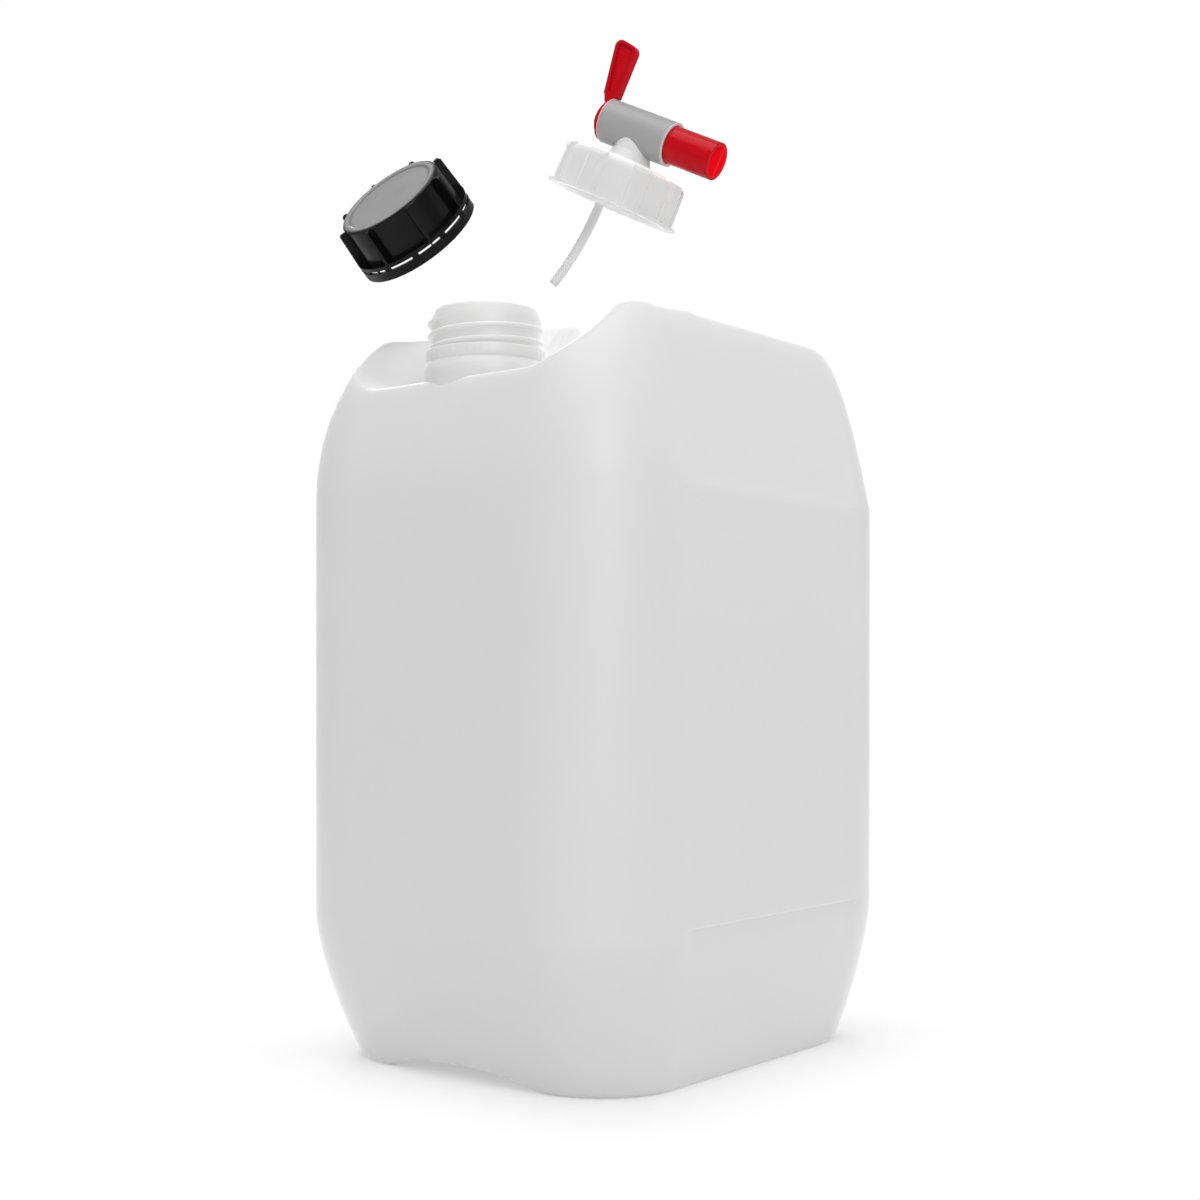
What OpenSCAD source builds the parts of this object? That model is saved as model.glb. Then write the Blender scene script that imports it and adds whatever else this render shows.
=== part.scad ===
/* [Container] */
// Width of the container, side to side
body_w = 190; // [175:1:205]
// Length of the container, neck side to back
body_l = 226; // [212:1:240]
// Height of the flat top that the next container stands on
top_h = 320; // [305:1:335]
// Radius of the four upright corners
corner_r = 46; // [36:1:52]
// Wall of the blow-moulded shell
wall = 1.5; // [1.2:0.1:2.2]
// Height where the sides stop sloping out from the base
lower_break = 65; // [50:1:80]
// How far below the flat top the shoulders begin
shoulder_drop = 75; // [68:1:90]
// How far the base is set in under the front
base_in_front = 22; // [16:1:26]
// How far the base is set in under the sides and back
base_in_side = 18; // [12:1:22]
// How far the front shoulder reaches in before it is flat
shoulder_front = 42; // [36:1:50]
// How far the side and back shoulders reach in before they are flat
shoulder_side = 25; // [20:1:30]

/* [Base] */
// Height of the hollow in the middle of the base
base_hollow = 6; // [3:0.5:9]
// Width of the foot that runs round the base
foot_w = 20; // [14:1:26]
// Height of the arch under the front, which clears the closure below
arch_h = 8; // [4:0.5:10]
// Width of the arch under the front
arch_w = 76; // [60:1:88]

/* [Neck] */
// Distance from the front of the container to the neck's axis
neck_back = 35; // [34:1:42]
// Bore of the neck
neck_bore = 41; // [38:0.5:42]
// Outside of the neck between the thread crests
neck_core = 46.6; // [45:0.2:48]
// Outside of the neck at its rim, where it tapers to lead the closure on
neck_tip = 44; // [43.6:0.2:44.8]
// Height of the neck's rim above the flat top
neck_rise = 1.9; // [0.5:0.1:5]
// Outside of the ratchet collar
collar_d = 51.6; // [50:0.2:52.4]
// Drop of the ratchet collar's underside below the flat top
collar_drop = 20.6; // [19:0.2:22]
// Height of the ratchet collar
collar_h = 4.8; // [3:0.2:6]
// Outside of the neck where it leaves the recess
root_d = 53; // [52:0.5:56]
// Depth of the recess round the neck, below the flat top
recess_drop = 29.6; // [28:0.2:34]
// Radius of the recess floor behind the neck
recess_r = 31.5; // [31:0.5:33]
// Radius of the recess at its rim behind the neck
rim_r = 34; // [33.5:0.5:36]
// Reach of the recess floor at the front, where it runs out of the wall
floor_front = 60; // [54:1:66]
// Reach of the recess to either side, level with the neck
rim_side = 76; // [70:1:80]

/* [Handle] */
// Depth of the finger well below the flat top
well_drop = 58; // [50:1:65]
// Half width of the finger well
well_x = 52; // [46:1:54]
// Front end of the finger well
well_front = -22; // [-26:1:-18]
// Back end of the finger well
well_back = 72; // [66:1:76]
// Length of the well's sloping walls
well_slope = 9; // [6:1:11]
// Width of the handle
handle_w = 27; // [24:1:32]
// Thickness of the handle
handle_t = 21; // [18:1:25]
// Drop of the handle's crown below the flat top
handle_drop = 0.6; // [0.4:0.1:1.5]

/* [Screw cap] */
// Outside of the cap's skirt at its foot, between the fins
cap_skirt_d = 52; // [51.6:0.2:53]
// How much narrower the skirt's radius is at the top
skirt_taper = 0.5; // [0.2:0.1:0.8]
// Outside of the tamper band and of the cap's lip above it
band_d = 59; // [58:0.5:60]
// Height of the cap above the tamper band
cap_h = 18.9; // [16:0.1:21]
// Wall of the cap's skirt
cap_wall = 1.1; // [0.9:0.1:1.2]
// Thickness of the cap's top plate
cap_plate = 2; // [1.5:0.1:2.6]
// Height of the lip that carries the feet of the fins
lip_h = 1.8; // [1.2:0.1:2.6]
// Thickness of one fin
fin_t = 1.6; // [1:0.1:2]
// Number of fins
fin_n = 8; // [6:1:12]
// How much the fins' outer edges lean in towards the top
fin_lean = 0.9; // [0:0.1:1.6]
// Drop of the fins' tops below the cap's top
fin_drop = 0.5; // [0.2:0.1:4]
// Diameter of the sunk disc in the cap's top
cap_dish_d = 42; // [36:0.5:44]
// Depth of the sunk disc
cap_dish = 0.6; // [0.3:0.1:0.9]
// Height of the tamper band
band_h = 4.2; // [3.6:0.1:6]
// Wall of the tamper band
band_wall = 1.4; // [1.2:0.1:1.8]
// Slit between the cap and the tamper band
band_gap = 1.3; // [0.8:0.1:1.6]
// Number of wide webs that hold the band to the cap
web_n = 12; // [6:2:14]
// Width of the wide webs
web_w = 3.2; // [1.5:0.1:3.6]
// Width of the thin webs that split every second slot
thin_web = 0.8; // [0.5:0.1:1.2]
// Number of ratchet teeth inside the band
tooth_n = 16; // [8:1:20]
// Radial gap between the ratchet teeth and the neck's collar
tooth_gap = 0.5; // [0.2:0.1:0.8]
// Thickness of the sealing disc
liner_t = 1.6; // [1:0.1:2]
// Radial gap round the sealing disc
liner_gap = 0.1; // [0.05:0.05:0.3]

/* [Tap] */
// Outside of the union nut's foot flange
nut_flange_d = 62; // [60:0.5:64]
// Outside of the union nut's skirt between the lugs
nut_skirt_d = 54.4; // [54:0.2:56]
// Outside over the union nut's lugs
nut_lug_d = 58; // [57:0.5:60]
// Height of the union nut
nut_h = 19; // [17:0.5:21]
// Wall of the union nut
nut_wall = 1.7; // [1.4:0.1:2]
// Thickness of the union nut's top
nut_plate = 2; // [1.6:0.1:2.6]
// Thickness of the union nut's foot flange
nut_foot = 1.2; // [1:0.1:1.6]
// Number of lugs on the union nut
lug_n = 8; // [6:1:10]
// Width of one lug
lug_w = 9; // [6:0.5:10]
// Outside of the raised collar on top of the nut
nut_collar_d = 37; // [34:0.5:40]
// Height of that collar
nut_collar_h = 1.4; // [0.8:0.1:2]
// Bore of the union nut's top, which turns on the stem's shoulder
nut_hole_d = 22; // [21.8:0.1:24]
// Clearance of the union nut on the stem's shoulder and flange
nut_fit = 0.06; // [0.03:0.01:0.1]
// Diameter of the flange that the nut pulls down on the neck
flange_d = 47; // [44:0.5:48]
// Thickness of that flange
flange_t = 2; // [1.6:0.1:2.6]
// Thickness of the flat gasket under the flange
gasket_t = 2; // [1.5:0.1:2.5]
// Outside of the stem where it meets the barrel
stem_d = 17; // [16.6:0.2:18.6]
// Outside of the stem's flared foot on the nut
stem_foot_d = 21; // [19:0.2:21.4]
// Height of that flare
stem_flare = 4.6; // [3:0.2:5]
// Wall of the stem
stem_wall = 1.7; // [1.4:0.1:2]
// Outside of the inlet spigot below the flange
inlet_d = 22; // [20:0.5:26]
// How far the inlet spigot stands out below the union nut
inlet_drop = 1; // [0.5:0.1:3]
// Wall of the socket that holds the air tube
socket_wall = 1.2; // [1:0.1:1.4]
// Height of the barrel's axis above the nut's top
barrel_rise = 15.2; // [14:0.2:18]
// Outside of the barrel
barrel_d = 19.4; // [19.2:0.2:21]
// Bore of the barrel, which the spindle turns in
barrel_bore = 17; // [16:0.2:17.2]
// Length of the barrel
barrel_l = 34.8; // [32:0.2:38]
// Radial running clearance of the spindle in the barrel
spindle_fit = 0.05; // [0.02:0.01:0.1]
// Outside of the spout beyond the barrel
spout_d = 16.5; // [15.6:0.1:16.6]
// Length of the spout beyond the barrel
spout_l = 23.3; // [18:0.1:28]
// Wall of the spout
spout_wall = 1.4; // [1.1:0.1:1.8]
// Thickness of the wall that splits the spout into liquid and air
divider_t = 1; // [0.8:0.1:1.4]
// Distance of that wall from the spout's axis, towards the air side
divider_off = 1.6; // [1:0.1:2.4]
// Outside of the hub at the lever's end of the barrel
hub_d = 18.2; // [17.8:0.1:19]
// Thickness of the hub under its dome
hub_t = 1.6; // [1.2:0.1:3]
// Height of the hub's dome
hub_dome = 4.4; // [3:0.1:5.6]
// Reach of the lever from the barrel's axis
lever_l = 34.4; // [28:0.2:40]
// Width of the lever at its tip
lever_w = 11.2; // [9.6:0.2:14]
// Width of the lever where it leaves the barrel
lever_root_w = 7.4; // [6.4:0.2:9]
// How far the lever's straight edge overhangs the barrel
lever_over = 0.6; // [0.2:0.1:1.6]
// Running gap between the lever and the barrel
lever_gap = 0.4; // [0.2:0.1:0.8]
// Thickness of the lever
lever_t = 4.2; // [3.6:0.1:6]
// Depth of the pocket in each face of the lever
pocket = 1.2; // [0.6:0.1:1.4]
// Width of the rim round the pocket
lever_rim = 1.5; // [1.2:0.1:2]

/* [Air tube] */
// Outside of the air tube
tube_d = 4.2; // [3.8:0.1:4.4]
// Bore of the air tube
tube_bore = 2.6; // [2:0.1:2.8]
// Distance of the air tube from the stem's axis, towards the lever
tube_off = 5.6; // [5.2:0.1:5.7]
// How far the air tube hangs below the union nut's foot
tube_hang = 41.3; // [30:0.1:60]
// How far its free end bends away
tube_bend = 6.7; // [0:0.1:12]
// Length of the air tube inside its socket
tube_in = 8; // [5:0.5:12]

/* [Placing] */
// Place of the cap's foot, side to side
cap_x = -60.5; // [-75:0.5:-50]
// Place of the cap's foot, front to back
cap_y = -56.1; // [-70:0.1:-45]
// Height of the cap's foot above the flat top
cap_rise = 46.5; // [40:0.5:60]
// How far the cap's top leans to the front
cap_lean = 49.2; // [30:0.1:60]
// Turn of the leaning cap about the upright
cap_turn = -4; // [-20:0.5:20]
// Turn of the cap about its own axis
cap_spin = 11.7; // [0:0.1:45]
// Place of the union nut's foot, side to side
tap_x = 13.4; // [5:0.1:25]
// Place of the union nut's foot, front to back
tap_y = -9.9; // [-20:0.1:0]
// Height of the union nut's foot above the flat top
tap_rise = 58.9; // [50:0.1:75]
// How far the tap leans towards its spout
tap_lean = 25.9; // [10:0.1:35]
// Turn of the tap about the upright
tap_turn = 11.7; // [0:0.1:30]

/* [Hidden] */

$fn = 48;
over = 1;            // how far a cutter stands past what it cuts

half_w = body_w / 2;
half_l = body_l / 2;
neck_y = -half_l + neck_back;
upper_break = top_h - shoulder_drop;
recess_z = top_h - recess_drop;
well_z = top_h - well_drop;
collar_z = top_h - collar_drop;
neck_rim = top_h + neck_rise;

// ---- Container: a skin of rings from the base to the top, and the hollows that are cut into it

arc_steps = 6;       // steps round each upright corner
side_steps = 5;      // steps along each side between the corners

function clamp(v, lo, hi) = min(max(v, lo), hi);
function mix(a, b, t) = a + (b - a) * t;
function ease(lo, hi, v) = let (t = clamp((v - lo) / (hi - lo), 0, 1)) t * t * (3 - 2 * t);
function bulge(v, n) = sign(v) * pow(abs(v), n);

// Points of a rounded rectangle, anticlockwise, with the same number of points for every size
function ring_points(a, b, r) = [
    for (q = [0 : 3])
        let (turn = 90 * q,
             here = [(q == 0 || q == 3 ? 1 : -1) * (a - r), (q < 2 ? 1 : -1) * (b - r)],
             next = [(q < 2 ? -1 : 1) * (a - r), (q % 3 == 0 ? 1 : -1) * (b - r)],
             out = r * [cos(turn + 90), sin(turn + 90)])
        each concat(
            [for (i = [0 : arc_steps])
                let (t = turn + 90 * i / arc_steps) here + r * [cos(t), sin(t)]],
            [for (i = [1 : side_steps - 1]) mix(here + out, next + out, i / side_steps)])];

// How much a place belongs to the front of the container, from 0 to 1
function front_part(y) = 1 - ease(-half_l + 10, -half_l + 62, y);

// Inset of the wall at a height below the lower break
function base_inset(z, y) =
    mix(base_in_side, base_in_front, front_part(y)) * pow(1 - clamp(z / lower_break, 0, 1), 1.25);

// Height of the shoulder at an inset: a quarter of a superellipse, fuller at the sides than at the front
function shoulder_z(x, y, e) =
    let (front = front_part(y),
         reach = mix(shoulder_side, shoulder_front, front),
         power = mix(side_fullness, mix(front_fullness, corner_fullness, ease(30, 80, abs(x))), front))
    upper_break + (top_h - upper_break) * pow(1 - pow(max(1 - e / reach, 0), 2), 1 / power);

side_fullness = 0.98;     // 1 is a quarter of a circle; more is fuller
front_fullness = 1.75;
corner_fullness = 1.88;
lower_share = [0, 0.09, 0.24, 0.43, 0.68, 1];                  // heights of the lower rings
shoulder_e = [0, 0.6, 2, 4.5, 8, 12, 17, 23, 30, 38, 51];      // insets of the shoulder rings

// The container's outer form, moved in by "off"
module skin(off) {
    a = half_w - off;
    b = half_l - off;
    r = corner_r - off;
    foot = [for (p = ring_points(a, b, r))
        let (in = base_inset(0, p[1]) + 3.5) [p[0] * (1 - in / half_w), p[1] * (1 - in / half_l), off]];
    lower = [for (s = lower_share)
        let (z = mix(off + 2.5, lower_break, s))
        [for (p = ring_points(a, b, r))
            let (in = base_inset(z, p[1])) [p[0] * (1 - in / half_w), p[1] * (1 - in / half_l), z]]];
    upper = [for (e = shoulder_e)
        [for (p = ring_points(a - e, b - e, max(r - e * 0.8, 6)))
            [p[0], p[1], shoulder_z(p[0], p[1], e) - off * ease(0, 20, e)]]];
    ring_solid(concat([foot], lower, upper));
}

// Reach of the recess in a direction, given in degrees from the side (0) to the back (90) or front (-90):
// the floor is nearly round behind the neck and fans out to the front, and the rim fans out more
function floor_reach(a) = mix(recess_r, floor_front, lookup(a,
    [[-60, 1], [-35, 0.72], [-20, 0.37], [-10, 0.19], [0, 0.09], [10, 0.035], [30, 0.018], [60, 0]]));
function rim_reach(a) = mix(rim_r, rim_side, lookup(a,
    [[-60, 2.05], [-35, 1.93], [-20, 1.67], [-8, 1.45], [0, 1], [10, 0.69], [23, 0.357], [36, 0.22],
     [49, 0.143], [60, 0.083], [90, 0]]));

// Share of the recess's width and of its depth for each of its rings
recess_steps = [[0, 0], [0.14, 0.05], [0.3, 0.21], [0.5, 0.5], [0.7, 0.78], [0.86, 0.94], [1, 1.01],
                [1.15, 1.1]];
recess_turns = 48;   // points round the recess

// The recess round the neck: a scoop whose floor runs out of the front, with an easy curve up to the rim
module neck_recess(off) {
    foot = [for (i = [0 : recess_turns - 1])
        let (t = 360 * i / recess_turns, r = root_d / 2 + 1)
        [r * cos(t), neck_y + r * sin(t), recess_z - off]];
    ring_solid(concat([foot], [for (s = recess_steps)
        [for (i = [0 : recess_turns - 1])
            let (t = 360 * i / recess_turns, a = t <= 90 ? t : t <= 270 ? 180 - t : t - 360,
                 r = mix(floor_reach(a), rim_reach(a), s[0]) + off)
            [r * cos(t), neck_y + r * sin(t), recess_z - off * (1 - s[0]) + recess_drop * s[1]]]]));
}

// The finger well under the handle
module finger_well(off) {
    rise = top_h - well_z;
    mid = (well_front + well_back) / 2;
    span = (well_back - well_front) / 2;
    steps = [[-off, -well_slope - 5], [4, -well_slope], [rise * 0.5, -well_slope * 0.6],
             [rise * 0.85, -well_slope * 0.3], [rise * 0.96, 0], [rise, 3], [rise + 3, 7]];
    ring_solid([for (s = steps)
        [for (p = ring_points(well_x + s[1] + off, span + s[1] + off, 20 + off))
            [p[0], mid + p[1], well_z + s[0]]]]);
}

// The hollow in the base, which leaves a foot all round
module base_pan(off) {
    a = half_w - base_in_side - foot_w;
    b = half_l - base_in_front - foot_w;
    ring_solid([for (s = [[-10, 6], [0, 6], [base_hollow + off, -6]])
        [for (p = ring_points(a + s[1] + off, b + s[1] + off, 30)) [p[0], p[1], s[0]]]]);
}

// The arch through the foot under the front, which clears the closure of the container below
module base_arch(off) {
    h = arch_h + off;
    translate([0, -half_l - 5, 0]) rotate([-90, 0, 0])
        linear_extrude(half_l + 5 + neck_y + recess_r + off)
            polygon([[-arch_w / 2 - off, 10], [-arch_w / 2 - off, 0], [-arch_w / 2 + 7 - off, -h],
                     [arch_w / 2 - 7 + off, -h], [arch_w / 2 + off, 0], [arch_w / 2 + off, 10]]);
}

module carved(off) {
    difference() {
        skin(off);
        neck_recess(off);
        finger_well(off);
        base_pan(off);
        base_arch(off);
    }
}

// A closed solid from rings that all have the same number of points, with a flat face at both ends
module ring_solid(rings) {
    n = len(rings[0]);
    last = len(rings) - 1;
    points = concat([for (ring = rings) each ring], [for (end = [0, last]) middle_of(rings[end])]);
    faces = [for (i = [0 : n - 1])
        let (j = (i + 1) % n)
        each concat(
            [for (k = [0 : last - 1]) each [[k * n + i, (k + 1) * n + i, k * n + j],
                                            [(k + 1) * n + i, (k + 1) * n + j, k * n + j]]],
            [[(last + 1) * n, i, j], [(last + 1) * n + 1, last * n + j, last * n + i]])];
    polyhedron(points, faces, convexity = 10);
}

function middle_of(ring) = [for (axis = [0 : 2]) sum_of(ring, axis) / len(ring)];
function sum_of(ring, axis, i = 0) = i == len(ring) ? 0 : ring[i][axis] + sum_of(ring, axis, i + 1);

// The handle is a bar along the middle, which flares a little into the blocks that carry it
module handle_bar(off) {
    from = (neck_y + rim_r + well_front) / 2 - off;
    to = well_back + 8 + off;
    z = top_h - handle_drop - handle_t / 2;
    ring_solid([for (t = [0, 0.08, 0.18, 0.34, 0.66, 0.82, 0.92, 1])
        let (flare = 1 + 0.22 * pow(abs(2 * t - 1), 6))
        [for (i = [0 : 15])
            [(handle_w / 2 * flare - off) * bulge(cos(22.5 * i), 0.75), mix(from, to, t),
             z - (handle_t / 2 - off) * bulge(sin(22.5 * i), 0.75)]]]);
}

module neck_outside() {
    collar_top = collar_z + collar_h;
    collar_edge = 0.4;
    lead = 4.2;          // height of the taper below the rim
    translate([0, neck_y, 0]) rotate_extrude()
        polygon([[0, recess_z - wall], [root_d / 2, recess_z - wall], [root_d / 2, recess_z + 6],
                 [collar_d / 2 - 1, collar_z], [collar_d / 2, collar_z + collar_edge],
                 [collar_d / 2, collar_top - collar_edge], [neck_core / 2, collar_top],
                 [neck_core / 2, neck_rim - lead], [neck_tip / 2, neck_rim - 1],
                 [neck_tip / 2 - 0.7, neck_rim], [0, neck_rim]]);
}

module bottle() {
    color([0.9, 0.91, 0.9]) difference() {
        union() {
            carved(0);
            handle_bar(0);
            neck_outside();
        }
        carved(wall);
        handle_bar(wall);
        translate([0, neck_y, recess_z - 12]) cylinder(d = neck_bore, h = neck_rim - recess_z + 13);
    }
}

// ---- Screw cap, in its own frame: the tamper band's lower edge at 0, the cap's top up

cap_foot = band_h + band_gap;
cap_top = cap_foot + cap_h;
skirt_r = cap_skirt_d / 2;
top_r = skirt_r - skirt_taper;
band_r = band_d / 2;
edge_r = 1.4;        // round of the cap's top edge
fin_edge = 0.8;      // cut corner of a fin

module at_cap() {
    translate([cap_x, cap_y, top_h + cap_rise]) rotate([cap_lean, 0, cap_turn]) rotate([0, 0, cap_spin])
        children();
}

module turned(count, from = 0) {
    for (i = [0 : count - 1]) rotate([0, 0, from + 360 * i / count]) children();
}

// A plate that stands on the axis, drawn as its height over its radius
module radial_plate(thickness) {
    rotate([90, 0, 0]) translate([0, 0, -thickness / 2]) linear_extrude(thickness) children();
}

module cap_shell() {
    dish_r = cap_dish_d / 2;
    dish_z = cap_top - cap_dish;
    fin_top = cap_top - fin_drop;
    fin_r = band_r - fin_lean;
    color([0.06, 0.06, 0.065]) at_cap() {
        rotate_extrude() polygon(concat(
            [[skirt_r - cap_wall, cap_foot], [band_r, cap_foot], [band_r, cap_foot + lip_h],
             [skirt_r, cap_foot + lip_h]],
            [for (t = [0 : 15 : 90]) [top_r - edge_r * (1 - cos(t)), cap_top - edge_r * (1 - sin(t))]],
            [[dish_r + 2 * cap_dish, cap_top], [dish_r, dish_z], [0, dish_z], [0, dish_z - cap_plate],
             [top_r - cap_wall, dish_z - cap_plate]]));
        turned(fin_n) radial_plate(fin_t)
            polygon([[skirt_r - cap_wall / 2, cap_foot], [band_r, cap_foot], [band_r, cap_foot + lip_h],
                     [fin_r, fin_top - fin_edge], [fin_r - fin_edge, fin_top],
                     [top_r - edge_r, fin_top - 0.2], [top_r - cap_wall, cap_top - edge_r]]);
    }
}

// The band hangs on the cap by wide webs, with a thin one between them in every second slot
module cap_band() {
    bore = band_r - band_wall;
    tooth = collar_d / 2 + tooth_gap;
    web_lap = 0.2;
    web_first = -3;      // turn of the first web from a fin
    thin_turn = 17.5;    // turn from a wide web to the thin one that follows it
    color([0.06, 0.06, 0.065]) at_cap() {
        rotate_extrude() translate([bore, 0]) square([band_wall, band_h]);
        turned(web_n, web_first) translate([bore + band_wall * 0.2, -web_w / 2, band_h - web_lap])
            cube([band_wall * 0.6, web_w, band_gap + web_lap]);
        turned(web_n / 2, web_first + thin_turn)
            translate([bore + band_wall * 0.2, -thin_web / 2, band_h - web_lap])
                cube([band_wall * 0.6, thin_web, band_gap + web_lap]);
        turned(tooth_n) linear_extrude(band_h * 0.6)
            polygon([[bore + band_wall / 2, -1.2], [bore + band_wall / 2, 1.6], [bore - 0.2, 1.6],
                     [tooth, -0.6], [tooth, -1.2]]);
    }
}

module cap_liner() {
    color([0.93, 0.94, 0.95]) at_cap()
        translate([0, 0, cap_top - cap_dish - cap_plate - liner_t])
            cylinder(r = top_r - cap_wall - liner_gap, h = liner_t);
}

// ---- Tap, in its own frame: the union nut's foot at 0, the stem up, the spout along +X

nut_in_r = nut_skirt_d / 2 - nut_wall;
plate_z = nut_h - nut_plate;
flange_z = plate_z - nut_fit - flange_t;
axis_z = nut_h + barrel_rise;
stem_bore = stem_d - 2 * stem_wall;
barrel_x = barrel_l / 2;
spindle_r = barrel_bore / 2 - spindle_fit;
spout_r = spout_d / 2;
socket_r = tube_d / 2 + socket_wall;
channel_r = tube_bore / 2 + socket_wall;
lever_x = -barrel_x + lever_over;

module at_tap() {
    translate([tap_x, tap_y, top_h + tap_rise]) rotate([0, tap_lean, tap_turn]) children();
}

module along_barrel(from) {
    translate([from, 0, axis_z]) rotate([0, 90, 0]) children();
}

module tap_nut() {
    skirt = nut_skirt_d / 2;
    lug_r = nut_lug_d / 2;
    side = lug_w / 2;
    round_r = 3;         // round of the skirt's top edge
    lug_cut = 1.5;       // cut corners of a lug
    color([0.93, 0.93, 0.92]) at_tap() difference() {
        union() {
            cylinder(d = nut_flange_d, h = nut_foot);
            rotate_extrude() polygon(concat([[0, 0], [skirt, 0]],
                [for (t = [0 : 18 : 90]) [skirt - round_r * (1 - cos(t)), nut_h - round_r * (1 - sin(t))]],
                [[0, nut_h]]));
            cylinder(d = nut_collar_d, h = nut_h + nut_collar_h);
            intersection() {
                rotate_extrude() polygon([[0, 0], [lug_r + 0.5, 0], [lug_r, nut_h - 2],
                                          [lug_r - 0.6, nut_h - 0.6], [lug_r - 2, nut_h], [0, nut_h]]);
                turned(lug_n) linear_extrude(nut_h)
                    polygon([[nut_in_r, -side], [lug_r - lug_cut, -side], [lug_r, -side + lug_cut],
                             [lug_r + over, -side + lug_cut], [lug_r + over, side - lug_cut],
                             [lug_r, side - lug_cut], [lug_r - lug_cut, side], [nut_in_r, side]]);
            }
        }
        translate([0, 0, -over]) cylinder(r = nut_in_r, h = plate_z + over);
        cylinder(d = nut_hole_d, h = nut_h + nut_collar_h + over);
    }
}

module nut_gasket() {
    color([0.8, 0.81, 0.82]) at_tap() translate([0, 0, flange_z - gasket_t]) difference() {
        cylinder(d = flange_d, h = gasket_t);
        translate([0, 0, -over]) cylinder(d = inlet_d + 2 * nut_fit, h = gasket_t + 2 * over);
    }
}

module tap_body() {
    shoulder_r = nut_hole_d / 2 - nut_fit;
    nut_top = nut_h + nut_collar_h;
    color([0.92, 0.92, 0.92]) at_tap() difference() {
        union() {
            rotate_extrude() polygon([[0, -inlet_drop], [inlet_d / 2, -inlet_drop], [inlet_d / 2, flange_z],
                [flange_d / 2, flange_z], [flange_d / 2, flange_z + flange_t],
                [shoulder_r, flange_z + flange_t], [shoulder_r, nut_h + nut_collar_h / 2],
                [stem_foot_d / 2, nut_top], [stem_d / 2, nut_top + stem_flare], [stem_d / 2, axis_z],
                [0, axis_z]]);
            along_barrel(-barrel_x) cylinder(d = barrel_d, h = barrel_l);
        }
        difference() {
            translate([0, 0, -inlet_drop - over]) cylinder(d = stem_bore, h = axis_z + inlet_drop + over);
            translate([-tube_off, 0, -inlet_drop])
                cylinder(r = socket_r, h = tube_in + inlet_drop + socket_wall);
            translate([-tube_off, 0, tube_in]) cylinder(r = channel_r, h = axis_z - tube_in);
        }
        translate([-tube_off, 0, -inlet_drop - over]) {
            cylinder(d = tube_d, h = tube_in + inlet_drop + over);
            cylinder(d = tube_bore, h = axis_z + inlet_drop + over);
        }
        along_barrel(-barrel_x - over) cylinder(d = barrel_bore, h = barrel_l + 2 * over);
    }
}

// Outline of the lever in the plane of the stem and the barrel, moved in by "rim": its edge towards the
// spout is straight, and the other leans out to the tip
function lever_outline(rim) =
    let (root = barrel_d / 2 + lever_gap,
         right = lever_x - rim,
         left = lever_x - lever_root_w + rim,
         tip = lever_l - rim,
         far = lever_x - lever_w + rim,
         r = 3 - rim)
    concat([[left, root + rim], [right, root + rim]],
           [for (t = [0 : 22.5 : 90]) [right - r + r * cos(t), tip - 0.8 - r + r * sin(t)]],
           [for (t = [90 : 22.5 : 180]) [far + r + r * cos(t), tip - r + r * sin(t)]]);

module tap_spindle() {
    out_x = barrel_x + spout_l;
    in_r = spout_r - spout_wall;
    air_x = -tube_off - 2.5;
    wall_x = -tube_off + 2.5;
    port_x = wall_x + divider_t + 0.5;
    hub_x = -barrel_x - nut_fit;
    hub_end = hub_x - hub_t;
    dome_r = (hub_dome * hub_dome + hub_d * hub_d / 4) / (2 * hub_dome);
    color([0.8, 0.03, 0.06]) at_tap() {
        difference() {
            union() {
                along_barrel(hub_x - over) cylinder(r = spindle_r, h = barrel_x - hub_x + over);
                along_barrel(0) cylinder(r = spout_r, h = out_x);
            }
            difference() {
                along_barrel(air_x) cylinder(r = in_r, h = out_x - air_x + over);
                translate([wall_x, divider_off, axis_z - in_r]) cube([out_x - wall_x, divider_t, 2 * in_r]);
                translate([wall_x, -in_r, axis_z - in_r]) cube([divider_t, in_r + divider_off, 2 * in_r]);
            }
            translate([-tube_off, 0, axis_z]) rotate([90, 0, 0])
                cylinder(d = tube_bore, h = spindle_r + over);
            translate([port_x, -spindle_r - over, axis_z - in_r * 0.6])
                cube([stem_bore / 2 - port_x, spindle_r, in_r * 1.2]);
        }
        intersection() {
            translate([hub_end - hub_dome + dome_r, 0, axis_z]) sphere(dome_r);
            along_barrel(hub_end - hub_dome) cylinder(d = hub_d, h = hub_dome + hub_t);
        }
        translate([0, 0, axis_z]) difference() {
            union() {
                radial_plate(lever_t) polygon(lever_outline(0));
                radial_plate(lever_t) polygon([[hub_end - 1, 0], [hub_x, 0], [hub_x, barrel_d / 2 + 1.4],
                    [lever_x - lever_root_w, barrel_d / 2 + 1.4],
                    [hub_end - hub_dome * 0.6, barrel_d * 0.3]]);
            }
            for (side = [-1, 1]) translate([0, side * lever_t / 2, 0])
                radial_plate(2 * pocket) polygon(lever_outline(lever_rim));
        }
    }
}

// The air tube hangs from its socket and bends towards its free end
module air_tube() {
    steps = 12;
    function route(t) = let (z = mix(-tube_hang, tube_in, t))
        [-tube_off - tube_bend * pow(max(-z / tube_hang, 0), 2.1), 0, z];
    function rings(r, n) = [for (i = [0 : steps])
        let (t = i / steps, here = route(t), way = route(t + 0.02) - route(t - 0.02), len = norm(way))
        [for (k = [0 : n - 1])
            let (a = 360 * k / n) here + r * [cos(a) * way[2] / len, sin(a), -cos(a) * way[0] / len]]];
    color([0.9, 0.9, 0.9]) at_tap() difference() {
        ring_solid(rings(tube_d / 2, 16));
        ring_solid(rings(tube_bore / 2, 12));
    }
}

bottle();
cap_shell();
cap_band();
cap_liner();
tap_nut();
nut_gasket();
tap_body();
tap_spindle();
air_tube();
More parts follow.
